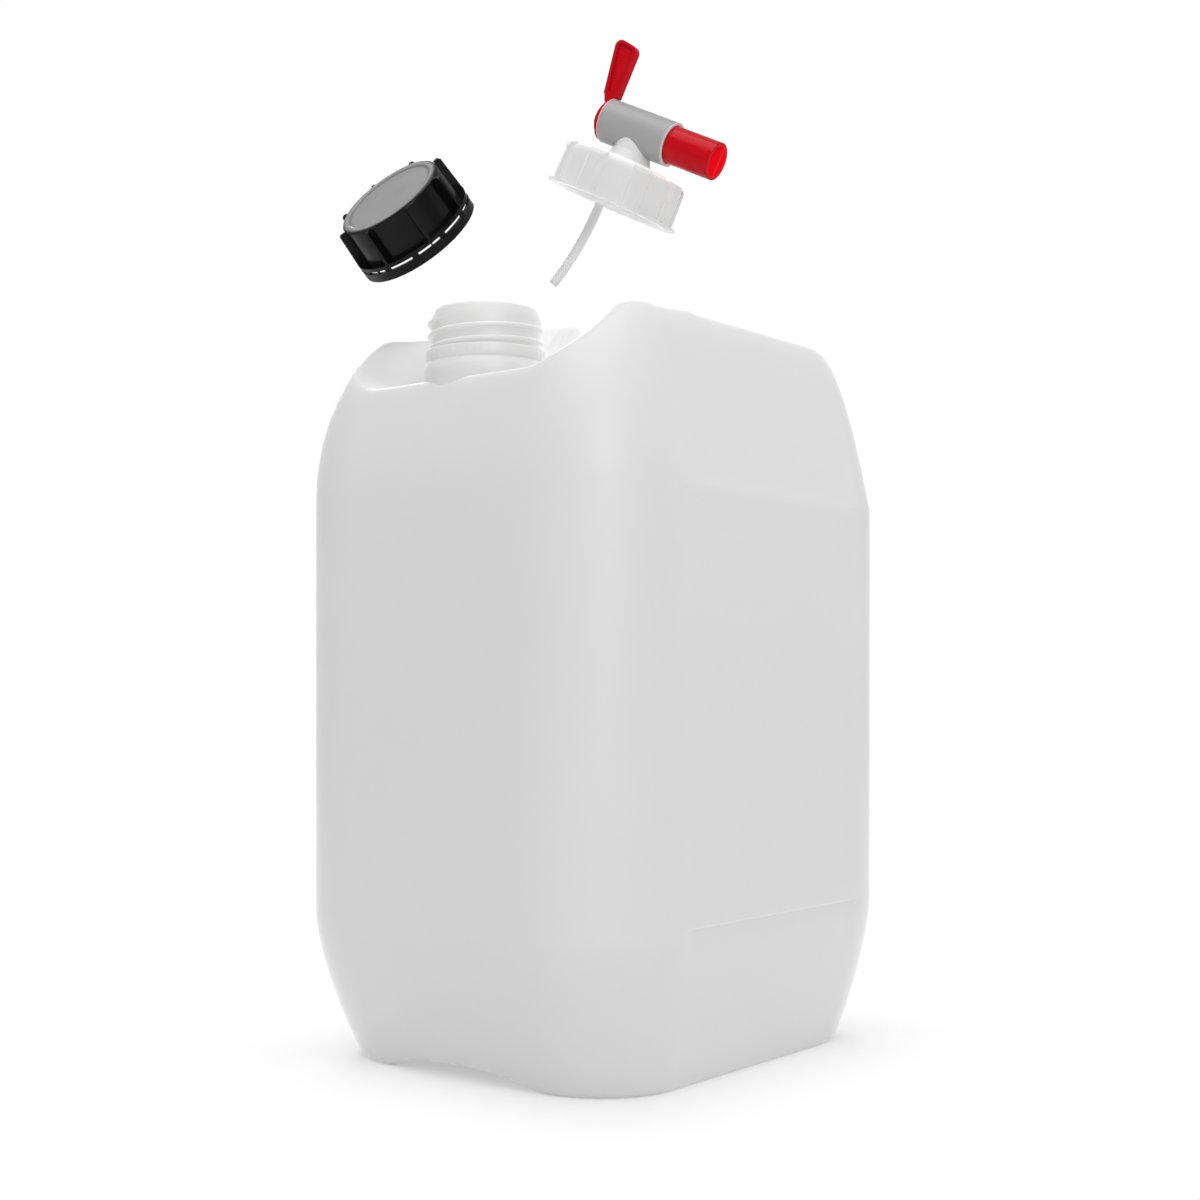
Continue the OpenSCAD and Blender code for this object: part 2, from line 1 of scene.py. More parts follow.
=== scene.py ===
"""Ten-litre detergent jerrycan with its screw cap and dispensing tap taken off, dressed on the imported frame.

The scene is in metres and in the frame's own axes: +Z up, -Y towards the neck. The forms are worked out in
millimetres and turned into metres where they become meshes.
"""
import math

import bpy
import numpy as np
from mathutils import Matrix, Vector


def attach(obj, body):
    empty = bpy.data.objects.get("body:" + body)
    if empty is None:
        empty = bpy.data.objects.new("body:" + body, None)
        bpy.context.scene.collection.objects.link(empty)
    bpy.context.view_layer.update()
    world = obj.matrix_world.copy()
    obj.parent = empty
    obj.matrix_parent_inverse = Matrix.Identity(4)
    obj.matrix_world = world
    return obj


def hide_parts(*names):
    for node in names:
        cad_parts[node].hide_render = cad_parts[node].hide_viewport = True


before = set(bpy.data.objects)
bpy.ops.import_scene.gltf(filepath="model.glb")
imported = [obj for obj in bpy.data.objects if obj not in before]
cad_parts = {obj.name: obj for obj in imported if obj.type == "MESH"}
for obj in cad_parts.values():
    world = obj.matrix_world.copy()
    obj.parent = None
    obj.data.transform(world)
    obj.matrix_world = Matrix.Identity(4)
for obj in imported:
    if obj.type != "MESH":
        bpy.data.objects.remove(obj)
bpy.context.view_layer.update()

bl_info = {
    "name": "Detergent Jerrycan with Tap",
    "version": (1, 0, 0),
    "blender": (4, 5, 0),
    "location": "View3D > Sidebar > Jerrycan",
    "description": "Builds a stackable jerrycan, its screw cap and its dispensing tap",
    "category": "Object",
}

MM = 0.001


# ---- Sizes and colours that a user would change

def size(name, description, value):
    """A length setting with its name and what it is for."""
    return bpy.props.FloatProperty(name=name, description=description, default=value, unit="LENGTH")


def colour(name, description, value):
    """A colour setting with its name and what it is for."""
    return bpy.props.FloatVectorProperty(name=name, description=description, subtype="COLOR", size=3,
                                         min=0, max=1, default=value)


class CanSizes(bpy.types.PropertyGroup):
    """Sizes of the blow-moulded container."""

    width: size("Width", "Side to side", 0.190)
    length: size("Length", "Neck side to back", 0.226)
    height: size("Height", "Height of the stacking top", 0.320)
    corner: size("Corner", "Radius of the upright corners", 0.046)
    neck_bore: size("Neck bore", "Bore of the neck", 0.041)
    neck_core: size("Neck core", "Outside of the neck between the threads", 0.0466)
    thread_crest: size("Thread crest", "Outside over the thread", 0.0493)
    thread_pitch: size("Thread pitch", "Rise of the thread in one turn", 0.0055)
    panel_depth: size("Panel depth", "Depth of the hollows beside the side panels", 0.0006)


class TapSizes(bpy.types.PropertyGroup):
    """Sizes of the details on the cap and the tap."""

    edge: size("Edge", "Round on the moulded edges", 0.0003)
    tube: size("Air tube", "Outside of the air tube", 0.0042)
    tube_bore: size("Air tube bore", "Bore of the air tube", 0.0026)


class PlasticColours(bpy.types.PropertyGroup):
    """Colours of the mouldings."""

    can: colour("Container", "Natural polyethylene of the container", (0.73, 0.73, 0.73))
    cap: colour("Cap", "Black plastic of the screw cap", (0.004, 0.004, 0.004))
    # The cap top's grey is a painted reflection on the black plastic, not a colour of its own.
    cap_top_reflection: colour("Cap top", "Painted_reflection grey of the cap's flat top", (0.33, 0.33, 0.33))
    nut: colour("Union nut", "Natural plastic of the union nut and stem", (0.72, 0.72, 0.72))
    # The barrel's grey is painted shade; the barrel is of the stem's milky plastic.
    barrel: colour("Barrel", "Grey of the barrel", (0.36, 0.36, 0.36))
    red: colour("Red", "Red plastic of the lever and spout", (0.54, 0.001, 0.008))
    tube: colour("Air tube", "Milky plastic of the air tube", (0.78, 0.78, 0.78))
    disc: colour("Sealing disc", "Foamed plastic of the cap's sealing disc", (0.75, 0.76, 0.77))
    # The gasket's pale grey is partly its rubber tone and partly painted light, raised for the light that
    # comes through the nut.
    gasket: colour("Gasket", "Rubber of the tap's gasket", (0.68, 0.69, 0.70))


# ---- Placing of the closures, as the frame holds them

def turned(point, lean_axis, lean, turn, spin=0.0):
    """Matrix of a moulding that spins about its own axis, leans about its X or Y axis, turns about the
    upright, and stands at a point in millimetres. Angles are in degrees."""
    place = Matrix.Translation(Vector(point) * MM)
    for axis, angle in (("Z", turn), (lean_axis, lean), ("Z", spin)):
        place = place @ Matrix.Rotation(math.radians(angle), 4, axis)
    return place


CAP_PLACE = turned((-60.5, -56.1, 366.5), "X", lean=49.2, turn=-4.0, spin=11.7)
TAP_PLACE = turned((13.4, -9.9, 378.9), "Y", lean=25.9, turn=11.7)

# Height of the barrel's axis over the tap's foot
BARREL_Z = 34.2
BARREL_PLACE = TAP_PLACE @ Matrix.Translation((0, 0, BARREL_Z * MM))


# ---- Mesh helpers

def smooth(low, high, value):
    """Soft step: 0 below low, 1 above high, and 3t squared less 2t cubed between them."""
    t = np.clip((value - low) / (high - low), 0.0, 1.0)
    return t * t * (3.0 - 2.0 * t)


def ridge(low, middle, high, value):
    """1 at the middle and 0 outside low and high, with a soft step on both sides."""
    return smooth(low, middle, value) - smooth(middle, high, value)


def make_piece(name, points, quads, body, place=None, tris=None):
    """A smooth-shaded mesh piece that rides on a body. place carries the points first."""
    points = np.asarray(points, dtype=float)
    if place is not None:
        m = np.array(place)
        points = points @ m[:3, :3].T + m[:3, 3]
    mesh = bpy.data.meshes.new(name)
    faces = np.asarray(quads).tolist() + ([] if tris is None else np.asarray(tris).tolist())
    mesh.from_pydata(points.tolist(), [], faces)
    mesh.validate()
    mesh.shade_smooth()
    piece = bpy.data.objects.new(name, mesh)
    bpy.context.scene.collection.objects.link(piece)
    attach(piece, body)
    return piece


def grid_quads(rows, columns):
    """Four-cornered faces of a grid of rows by columns, whose last column joins its first."""
    r = np.arange(rows - 1)[:, None]
    c = np.arange(columns)[None, :]
    n = (c + 1) % columns
    a, b = r * columns + c, r * columns + n
    return np.stack([a, b, b + columns, a + columns], axis=-1).reshape(-1, 4)


def revolve(profile, steps, radius_change=None):
    """A profile of (radius, height) turned about Z: x = r cos t, y = r sin t, z = h. Returns points and
    faces. radius_change gives what is added to the radius at an angle and a height."""
    profile = np.asarray(profile, dtype=float)
    t = np.linspace(0, 2 * math.pi, steps, endpoint=False)[None, :]
    r = profile[:, :1] + np.zeros_like(t)
    if radius_change is not None:
        r = r + radius_change(t, profile[:, 1:])
    points = np.stack([r * np.cos(t), r * np.sin(t), profile[:, 1:] + np.zeros_like(t)], axis=-1)
    return points.reshape(-1, 3), grid_quads(len(profile), steps)


def carried(path, across, up, outline, scale):
    """An outline of (sideways, upwards) carried along a path. Each ring is path + s * across + u * up, and
    scale is the outline's size at each step, so that an end can run out to nothing. Returns points and
    faces."""
    scale = np.asarray(scale)[:, None, None]
    rings = (path[:, None, :] + (outline[None, :, :1] * scale) * across[:, None, :]
             + (outline[None, :, 1:] * scale) * up[:, None, :])
    return rings.reshape(-1, 3), grid_quads(len(path), len(outline))


def soft_round(piece, width, segments=2, least_turn=32):
    """Bevels the edges of a piece where its faces turn by more than the least turn."""
    bevel = piece.modifiers.new("Moulded edge", "BEVEL")
    bevel.width = width
    bevel.segments = segments
    bevel.limit_method = "ANGLE"
    bevel.angle_limit = math.radians(least_turn)
    bevel.harden_normals = True


# ---- The container's form, in millimetres

# Steps of the skin's rings: in each corner, along each end, along each side
RING_STEPS = (22, 50, 66)

# The corner radius falls by this share of the way in from the outline, down to a least radius
CORNER_FALL, LEAST_CORNER = 0.8, 6.0

# The neck's axis behind the front, and the radius of the hole in the skin under the neck
NECK_BACK, NECK_HOLE_R = 35.0, 23.5

# The upright walls stand between the base and the shoulders
BASE_TOP, SHOULDER_FOOT = 65.0, 245.0

# How far the base stands in at the floor, the power of its curve, and the round at its foot
BASE_IN_SIDE, BASE_IN_BACK, BASE_FRONT_MORE = 13.5, 14.1, 5.6
BASE_POWER, FOOT_ROUND = 1.5, 2.4

# The arch through the front of the foot, and the Y where it runs out, on the wall and under the base
ARCH_RISE, ARCH_HALF, ARCH_POWER = 6.2, 50.0, 2.3
ARCH_WALL_ENDS, ARCH_FLOOR_ENDS = (-80, -60), (-47, -43)

# The hollow of the base: half sizes, corner radius, depth, and the inner part of its rounded edge
PAN_X, PAN_Y, PAN_CORNER, PAN_DEPTH, PAN_EDGE = 57.0, 71.0, 30, 6.0, 7.0

# Shoulder: how far in it reaches and its fullness, what the front and its corners add, where the front fades
# behind its face, and where its corners start and are full, from the middle
SHOULDER_REACH, FRONT_REACH_MORE = 25, 17
SHOULDER_POWER, FRONT_POWER_MORE, FRONT_CORNER_POWER_MORE = 0.98, 0.77, 0.13
FRONT_NEAR, FRONT_FAR, FRONT_CORNERS = 10, 62, (30, 80)

# Hollows beside the side panels: heights where they start, are deepest and end, how much deeper the low one
# is, where they end towards the corners, and how near to the side's face they start and are full
LOW_HOLLOW, HIGH_HOLLOW, LOW_HOLLOW_SHARE = (52, 66.8, 67.8), (243.5, 247.2, 262), 1.8
HOLLOW_ENDS, HOLLOW_START, HOLLOW_FULL = (58, 70), 4, 2

# Scoop round the neck: height of its floor, its depth, the slope beyond its rim, and the round to the
# shoulder
SCOOP_Z, SCOOP_DEPTH, SCOOP_RIM_SLOPE, SCOOP_ROUND = 290.4, 29.6, 0.7, 5.0

# Radii of the scoop's floor and rim round the neck, and what is added in full shares. Each share goes with a
# direction in degrees: -90 is to the front, 0 to either side and 90 to the handle.
SCOOP_FLOOR_R, SCOOP_FLOOR_MORE = 31.5, 28.5
SCOOP_RIM_R, SCOOP_RIM_MORE = 34, 42
FLOOR_SHARES = {-60: 1, -35: 0.72, -20: 0.37, -10: 0.19, 0: 0.09, 10: 0.035, 30: 0.018, 60: 0}
RIM_SHARES = {-60: 2.05, -35: 1.93, -20: 1.67, -8: 1.45, 0: 1, 10: 0.69, 23: 0.357, 36: 0.22, 49: 0.143,
              60: 0.083, 90: 0}

# Parting line on the right-hand shoulder: place, rise and spread of a bump, and place, depth, spread and half
# length of a notch. Spreads are in square millimetres.
BUMP_X, BUMP_Y, BUMP_RISE, BUMP_SPREAD = 74, -33, 0.9, 16
NOTCH_X, NOTCH_Y, NOTCH_DEPTH, NOTCH_SPREAD, NOTCH_HALF = 70, -52, 0.8, 30, 7

# Finger well: half sizes, place of its middle, corner radius, widening and drop of its lip, and its floor
WELL_X, WELL_Y, WELL_MID, WELL_CORNER = 52.0, 47.0, 25.0, 20
WELL_LIP_OUT, WELL_LIP_DROP, WELL_FLOOR_IN, WELL_FLOOR_Z = 4.6, 5.6, 14.8, 262.0

# Handle: the Y of its two ends and of the well's walls, its half width, underside, squareness and flare, how
# far its crown sinks in the middle, how far its underside drops with the flare, and a gap under the top
HANDLE_ENDS, HANDLE_WALLS = (-27.5, 77.5), (-20.5, 70.5)
HANDLE_HALF, HANDLE_UNDER, HANDLE_SQUARENESS, HANDLE_FLARE = 13.5, 298.4, 0.72, 10
CROWN_SINK, UNDER_DROP, CROWN_GAP = 0.6, 1.2, 0.02


def ring_outline(a, b, r, arc, side_x, side_y):
    """Points of a rounded rectangle of half sizes a and b and corner radius r, anticlockwise from the +X
    side. Each corner is an arc of equal turns and each side a straight run of equal steps, so rings of any
    size match."""
    parts = []
    for q, steps in enumerate((side_x, side_y, side_x, side_y)):
        sx, sy = (1 if q in (0, 3) else -1), (1 if q < 2 else -1)
        nx, ny = (-1 if q < 2 else 1), (1 if q in (0, 3) else -1)
        t = math.pi / 2 * (q + np.linspace(0, 1, arc + 1))
        here = np.array([sx * (a - r), sy * (b - r)])
        after = np.array([nx * (a - r), ny * (b - r)])
        out = r * np.array([math.cos(math.pi / 2 * (q + 1)), math.sin(math.pi / 2 * (q + 1))])
        parts.append(here + r * np.stack([np.cos(t), np.sin(t)], axis=-1))
        f = (np.arange(1, steps) / steps)[:, None]
        parts.append((here + out) * (1 - f) + (after + out) * f)
    return np.concatenate(parts)


def ring(a, b, r, mid=0.0):
    """One ring of the skin: a rounded rectangle whose middle is moved along Y."""
    return ring_outline(a, b, r, *RING_STEPS) + np.array([0.0, mid])


def corner_at(r, inset):
    """Corner radius of the ring at an inset from the outline."""
    return np.maximum(r - CORNER_FALL * inset, LEAST_CORNER)


def inset_of(x, y, a, b, r, deepest=60.0, halvings=24):
    """How far a place lies inside the container's outline. An interval is halved until the ring of that inset
    runs through the place, which is where its distance from the rounded rectangle changes sign."""
    low, high = np.zeros_like(x), np.full_like(x, deepest)
    for _ in range(halvings):
        mid = (low + high) / 2
        rr = corner_at(r, mid)
        qx, qy = np.abs(x) - (a - mid - rr), np.abs(y) - (b - mid - rr)
        away = np.hypot(np.maximum(qx, 0), np.maximum(qy, 0)) + np.minimum(np.maximum(qx, qy), 0) - rr
        low, high = np.where(away < 0, mid, low), np.where(away < 0, high, mid)
    return (low + high) / 2


def front_part(y, b):
    """1 at the front of the container, falling softly to 0 behind it."""
    return 1.0 - smooth(-b + FRONT_NEAR, -b + FRONT_FAR, y)


def shoulder_height(x, y, inset, b, top):
    """Height over an inset: foot + (top - foot) * (1 - (1 - inset / reach) squared) to the power 1 / power.
    The front reaches further in and is fuller, most of all at its corners."""
    front = front_part(y, b)
    reach = SHOULDER_REACH + front * FRONT_REACH_MORE
    corners = smooth(*FRONT_CORNERS, np.abs(x))
    power = SHOULDER_POWER + front * (FRONT_POWER_MORE + FRONT_CORNER_POWER_MORE * corners)
    lift = 1 - np.maximum(1 - inset / reach, 0) ** 2
    return SHOULDER_FOOT + (top - SHOULDER_FOOT) * lift ** (1 / power)


def eased(at, shares):
    """A share read in a direction, with a soft curve: the mean of five readings round the direction."""
    places, values = list(shares), list(shares.values())
    return sum(np.interp(at + shift, places, values) for shift in (-8, -4, 0, 4, 8)) / 5


def scoop_height(x, y, neck_y):
    """Height of the scoop round the neck. In each direction from the neck the floor reaches to one radius
    and the rim to another; between them the height rises by 3t squared less 2t cubed of the scoop's
    depth."""
    away = np.hypot(x, y - neck_y)
    turn = np.degrees(np.arctan2(y - neck_y, np.abs(x)))
    floor = SCOOP_FLOOR_R + SCOOP_FLOOR_MORE * eased(turn, FLOOR_SHARES)
    rim = SCOOP_RIM_R + SCOOP_RIM_MORE * eased(turn, RIM_SHARES)
    t = (away - floor) / (rim - floor)
    rise = np.where(t < 1, smooth(0, 1, t), 1 + SCOOP_RIM_SLOPE * (t - 1))
    return SCOOP_Z + SCOOP_DEPTH * rise


def soft_min(p, q, k):
    """The lower of two heights, with a round of size k where they cross: min(p, q) - h squared * k / 4, where
    h is 1 - |p - q| / k and not below 0."""
    h = np.maximum(k - np.abs(p - q), 0) / k
    return np.minimum(p, q) - h * h * k / 4


def arch_height(x):
    """Height of the arch through the foot: rise * (1 - (|x| / half) to a power)."""
    return ARCH_RISE * (1 - np.clip(np.abs(x) / ARCH_HALF, 0, 1) ** ARCH_POWER)


class ContainerForm:
    """The container's skin as rings, from the middle of the base to the middle of the finger well's floor.
    Half sizes a and b, corner radius, top and depth of the hollows are in millimetres."""

    def __init__(self, s):
        self.a, self.b, self.corner = s.width / MM / 2, s.length / MM / 2, s.corner / MM
        self.top, self.depth = s.height / MM, s.panel_depth / MM
        self.neck_y = NECK_BACK - self.b

    def side_hollow(self, x, y, z):
        """Depth of the soft hollows under and over the side panels, whose edges stand out against them."""
        low, high = LOW_HOLLOW_SHARE * ridge(*LOW_HOLLOW, z), ridge(*HIGH_HOLLOW, z)
        on_side = smooth(self.a - HOLLOW_START, self.a - HOLLOW_FULL, np.abs(x))
        return self.depth * (low + high) * (1 - smooth(*HOLLOW_ENDS, np.abs(y))) * on_side

    def base_ring(self, z, extra=0.0):
        """A ring of the tapered base. It stands in by (1 - height / top of the base) to a power, and the arch
        lifts it at the front."""
        p = ring(self.a, self.b, self.corner)
        front = front_part(p[:, 1], self.b)
        arch = arch_height(p[:, 0]) * (1 - smooth(*ARCH_WALL_ENDS, p[:, 1]))
        height = z + arch * (1 - z / BASE_TOP)
        share = (1 - np.clip(height / BASE_TOP, 0, 1)) ** BASE_POWER
        side, end = BASE_IN_SIDE * share + extra, (BASE_IN_BACK + BASE_FRONT_MORE * front) * share + extra
        x, y = p[:, 0] * (1 - side / self.a), p[:, 1] * (1 - end / self.b)
        return np.column_stack([x - np.sign(x) * self.side_hollow(x, y, height), y, height])

    def wall_ring(self, z):
        """A ring of the upright walls."""
        p = ring(self.a, self.b, self.corner)
        p[:, 0] -= np.sign(p[:, 0]) * self.side_hollow(p[:, 0], p[:, 1], z)
        return np.column_stack([p, np.full(len(p), float(z))])

    def top_ring(self, p, inset=None):
        """A ring of the shoulders and the top over its plan. Its height is the soft lower of shoulder and
        scoop, with the bell-shaped bump and the notch of the parting line."""
        x, y = p[:, 0], p[:, 1]
        inset = inset_of(x, y, self.a, self.b, self.corner) if inset is None else np.full_like(x, inset)
        shoulder = shoulder_height(x, y, inset, self.b, self.top)
        z = soft_min(shoulder, scoop_height(x, y, self.neck_y), SCOOP_ROUND)
        bump = BUMP_RISE * np.exp(-((x - BUMP_X) ** 2 + (y - BUMP_Y) ** 2) / BUMP_SPREAD)
        bump *= z > self.top - 1.5
        notch = NOTCH_DEPTH * np.exp(-((x - NOTCH_X) ** 2) / NOTCH_SPREAD - ((y - NOTCH_Y) / NOTCH_HALF) ** 4)
        notch *= z > self.top - 8
        x = x - np.sign(x) * self.side_hollow(x, y, z)
        return np.column_stack([x, y, np.minimum(z + bump, self.top) - notch])

    def pan_rings(self):
        """The base's hollow, from its middle outwards and down to the foot, under the arch."""
        def under(p, z):
            """Points at a height, or at the arch's height where that is more."""
            arch = arch_height(p[:, 0]) * (1 - smooth(*ARCH_FLOOR_ENDS, p[:, 1]))
            return np.column_stack([p, np.maximum(z, arch)])

        flat = np.array([PAN_X, PAN_Y, PAN_CORNER]) - PAN_EDGE
        made = [under(ring(*(flat * f)), PAN_DEPTH) for f in np.linspace(0.02, 0.93, 9)]
        for out, z in ((-PAN_EDGE, PAN_DEPTH), (-5.2, 5.8), (-4.0, 5.2), (-1.0, 2.8), (2.0, 0.8), (4.0, 0.15),
                       (6.0, 0.0)):
            made.append(under(ring(PAN_X + out, PAN_Y + out, PAN_CORNER + out), z))
        foot_in, foot_out = made[-1], self.base_ring(0.0, FOOT_ROUND)
        for f in np.linspace(0.12, 0.88, 6):
            middle = foot_in * (1 - f) + foot_out * f
            made.append(under(middle[:, :2], 0.0))
        return made

    def wall_rings(self):
        """The foot's round, the tapered base and the upright walls. Rings stand close where a hollow ends."""
        made = [self.base_ring(FOOT_ROUND * (1 - math.cos(t)), FOOT_ROUND * (1 - math.sin(t)))
                for t in np.linspace(0, math.pi / 2, 6)]
        made += [self.base_ring(z) for z in (4, 7, 10, 15, 21, 27, 34, 41, 48, 54, 59, 62, 63.6, BASE_TOP)]
        made += [self.wall_ring(z) for z in (66.2, 66.8, 67.3, 67.8, 68.2, 68.8, 70, 74, 90, 115, 140, 165,
                                             190, 215, 232, 239, 242, 244)]
        return made

    def top_rings(self):
        """The shoulders, in rings of one inset each, and the top, where the outline turns into the well's."""
        insets = np.concatenate([[0, 0.25, 0.6, 1.1, 1.8, 2.7, 3.8, 5, 6.4], np.arange(8, 24.1, 1.6)])
        made = [self.top_ring(ring(self.a - inset, self.b - inset, corner_at(self.corner, inset)), inset)
                for inset in insets]
        outer = ring(self.a - insets[-1], self.b - insets[-1], corner_at(self.corner, insets[-1]))
        inner = ring(WELL_X + WELL_LIP_OUT, WELL_Y + WELL_LIP_OUT, WELL_CORNER + WELL_LIP_OUT, WELL_MID)
        made += [self.top_ring(outer * (1 - f) + inner * f) for f in np.linspace(0, 1, 46)[1:]]
        return made

    def well_rings(self):
        """The finger well: its rounded lip, its narrowing wall and its floor."""
        made = []
        for t in np.linspace(0, math.pi / 2, 8)[1:]:
            out = WELL_LIP_OUT - WELL_LIP_DROP * math.sin(t)
            p = ring(WELL_X + out, WELL_Y + out, WELL_CORNER + out, WELL_MID)
            lip = np.minimum(self.top_ring(p)[:, 2], self.top - WELL_LIP_DROP * (1 - math.cos(t)))
            made.append(np.column_stack([p, lip]))
        for out, z in ((-2.0, 311.5), (-3.4, 305), (-4.6, 297), (-5.6, 289), (-6.8, 281), (-7.9, 274),
                       (-8.7, 269.5), (-9.2, 267.2), (-10.0, 265), (-11.2, 263.4), (-12.8, 262.4),
                       (-WELL_FLOOR_IN, WELL_FLOOR_Z)):
            p = ring(WELL_X + out, WELL_Y + out, WELL_CORNER + out, WELL_MID)
            made.append(np.column_stack([p, np.full(len(p), z)]))
        floor = np.array([WELL_X, WELL_Y, WELL_CORNER]) - WELL_FLOOR_IN
        for f in np.linspace(0.93, 0.02, 8):
            p = ring(*(floor * f), WELL_MID)
            made.append(np.column_stack([p, np.full(len(p), WELL_FLOOR_Z)]))
        return made


def container_surface(s):
    """The container's skin: its rings joined into one grid, with a fan of triangles at both ends and a hole
    under the neck. Returns points, quads and fans."""
    form = ContainerForm(s)
    rings = form.pan_rings() + form.wall_rings() + form.top_rings() + form.well_rings()
    rows, columns = len(rings), len(rings[0])
    points = np.concatenate(rings)
    quads = grid_quads(rows, columns)
    middle = points[quads].mean(axis=1)
    from_neck = np.hypot(middle[:, 0], middle[:, 1] - form.neck_y)
    open_neck = (from_neck < NECK_HOLE_R) & (middle[:, 2] > SHOULDER_FOOT)
    ends = np.array([points[:columns].mean(axis=0), points[-columns:].mean(axis=0)])
    n = np.arange(columns)
    after, last = (n + 1) % columns, (rows - 1) * columns
    fans = np.concatenate([np.column_stack([after, n, np.full(columns, len(points))]),
                           np.column_stack([n + last, after + last, np.full(columns, len(points) + 1)])])
    return np.concatenate([points, ends]) * MM, quads[~open_neck], fans


def handle_surface(s):
    """The handle: a squared-off oval carried from the neck's ridge to the back of the well. Towards both
    ends it flares by R less the root of R squared less (R - d) squared, where d is the way to the well's
    wall."""
    start, end = HANDLE_ENDS
    y = np.concatenate([np.linspace(start, -10, 30), np.linspace(-8, 58, 24), np.linspace(60, end, 30)])
    d = np.clip(np.minimum(y - HANDLE_WALLS[0], HANDLE_WALLS[1] - y), 0, HANDLE_FLARE)
    flare = HANDLE_FLARE - np.sqrt(HANDLE_FLARE ** 2 - (HANDLE_FLARE - d) ** 2)
    crown = s.height / MM - CROWN_SINK * smooth(0, 12, d) - CROWN_GAP
    under = HANDLE_UNDER - UNDER_DROP * flare
    t = np.linspace(0, 2 * math.pi, 64, endpoint=False)
    c = np.sign(np.cos(t)) * np.abs(np.cos(t)) ** HANDLE_SQUARENESS
    v = np.sign(np.sin(t)) * np.abs(np.sin(t)) ** HANDLE_SQUARENESS
    x = (HANDLE_HALF + flare)[:, None] * c[None, :]
    z = ((crown + under) / 2)[:, None] + ((crown - under) / 2)[:, None] * v[None, :]
    points = np.stack([x, y[:, None] + np.zeros_like(x), z], axis=-1).reshape(-1, 3)
    return points * MM, grid_quads(len(y), len(t))[:, ::-1]


def neck_profile(s):
    """Radius over height of the neck: foot round, taper, ratchet collar, thread core, rim and bore."""
    core, bore = s.neck_core / MM / 2, s.neck_bore / MM / 2
    foot = [(26.0, 286.0), (26.2, 289.5), (26.6, 291.5), (26.9, 294.0), (26.8, 295.8), (26.3, 297.2),
            (25.6, 298.3), (25.3, 298.9)]
    collar = [(25.35, 299.2), (25.6, 299.4), (25.8, 299.7), (25.8, 301.5), (25.8, 303.5), (25.6, 303.95),
              (25.2, 304.15), (core + 0.5, 304.2), (core + 0.1, 304.4)]
    threaded = [(core, 304.8), (core, 310.0), (core, 316.2), (core - 0.1, 317.4)]
    rim = [(22.8, 318.6), (22.4, 319.8), (22.1, 320.7), (21.8, 321.3), (21.4, 321.7), (21.0, 321.85),
           (bore + 0.3, 321.8), (bore + 0.1, 321.6)]
    inside = [(bore, 321.2), (bore, 312.0), (bore, 300.0), (bore, 290.4), (bore + 0.4, 288.8),
              (bore + 1.6, 287.6), (bore + 4.0, 287.0)]
    return foot + collar + threaded + rim + inside


def collar_ratchet(t, z, teeth=48, depth=0.35, low=299.6, high=304.1):
    """Cut into the collar's radius between two heights: saw teeth whose depth comes and goes as the square of
    cos 1.3 t round the neck."""
    tooth = (t * teeth / (2 * math.pi)) % 1.0
    return -depth * tooth * np.cos(1.3 * t) ** 2 * ((z > low) & (z < high))


def thread_surface(radius, crest, pitch, start, stop, low, inward=False, run_out=24.0):
    """A thread ridge: its outline carried along a helix of height low + pitch * turns, from one angle to
    another in degrees. It runs out to nothing over an angle at both ends."""
    t = np.radians(np.arange(start, stop + 1e-6, 5.0))
    way = np.column_stack([np.cos(t), np.sin(t), np.zeros_like(t)])
    path = way * radius
    path[:, 2] = low + pitch * (t - t[0]) / (2 * math.pi)
    side = way * (-1.0 if inward else 1.0)
    up = np.tile([0.0, 0.0, 1.0], (len(t), 1))
    outline = np.array([(-0.4, -1.55), (0.25, -1.35), (0.8, -0.85), (1.0, -0.3), (1.0, 0.25), (0.75, 0.7),
                        (0.25, 1.05), (-0.4, 1.25)])
    turn = np.degrees(t)
    grown = smooth(0, run_out, turn - start + 0.5) * smooth(0, run_out, stop - turn + 0.5)
    points, quads = carried(path, side, up, outline * np.array([crest, 1.0]), 0.05 + 0.95 * grown)
    return points, quads if inward else quads[:, ::-1]


# ---- Finishes

# Emission strengths of the light that comes through thin walls
EDGE_LIGHT, SCOOP_LIGHT, INSIDE_LIGHT = 0.3, 0.2, 0.42
NUT_LIGHT, FLANGE_LIGHT, BORE_LIGHT, TUBE_LIGHT = 0.2, 0.2, 0.42, 0.15
BORE_TINT = (0.75, 0.008, 0.016)

# Spans of the masks in millimetres, each from where it is 0 to where it is 1
SCOOP_NEAR, SCOOP_BEHIND, SCOOP_ABOVE = (80, 45), (-5, 25), (286, 302)
# The cap's three spans place the painted reflection on its flat top.
CAP_ABOVE, CAP_OUTER, OFF_DISC = (22.4, 23.3), (23.0, 25.2), (0.2, 1.0)
NUT_INSIDE = (25.9, 25.6)
# The first two spans place the barrel's painted shade: off its radius and at its ends the milky tone comes
# back.
OFF_BARREL_SHADE, BARREL_SHADE_END, FLANGE_BELOW = (9.72, 9.8), (17.05, 17.15), (-17, -18)
SPOUT_BEYOND, BORE_OUTSIDE = (18, 30), (6.95, 7.3)

# Radius of the sunk disc in the cap's top, and the share of the cap top's painted reflection on the ring round
# it
DISC_R, DISC_RING_REFLECTION = 21.2, 0.62


def node(tree, kind, place, **settings):
    """A node of a kind at a place, with its plain settings."""
    made = tree.nodes.new(kind)
    made.location = place
    for key, value in settings.items():
        setattr(made, key, value)
    return made


def maths(tree, place, operation, first, second=None, third=None, clamp=False):
    """A Math node on sockets or plain numbers. Returns its result's socket."""
    made = node(tree, "ShaderNodeMath", place, operation=operation, use_clamp=clamp)
    for socket, value in zip(made.inputs, (first, second, third)):
        if isinstance(value, bpy.types.NodeSocket):
            tree.links.new(value, socket)
        elif value is not None:
            socket.default_value = value
    return made.outputs[0]


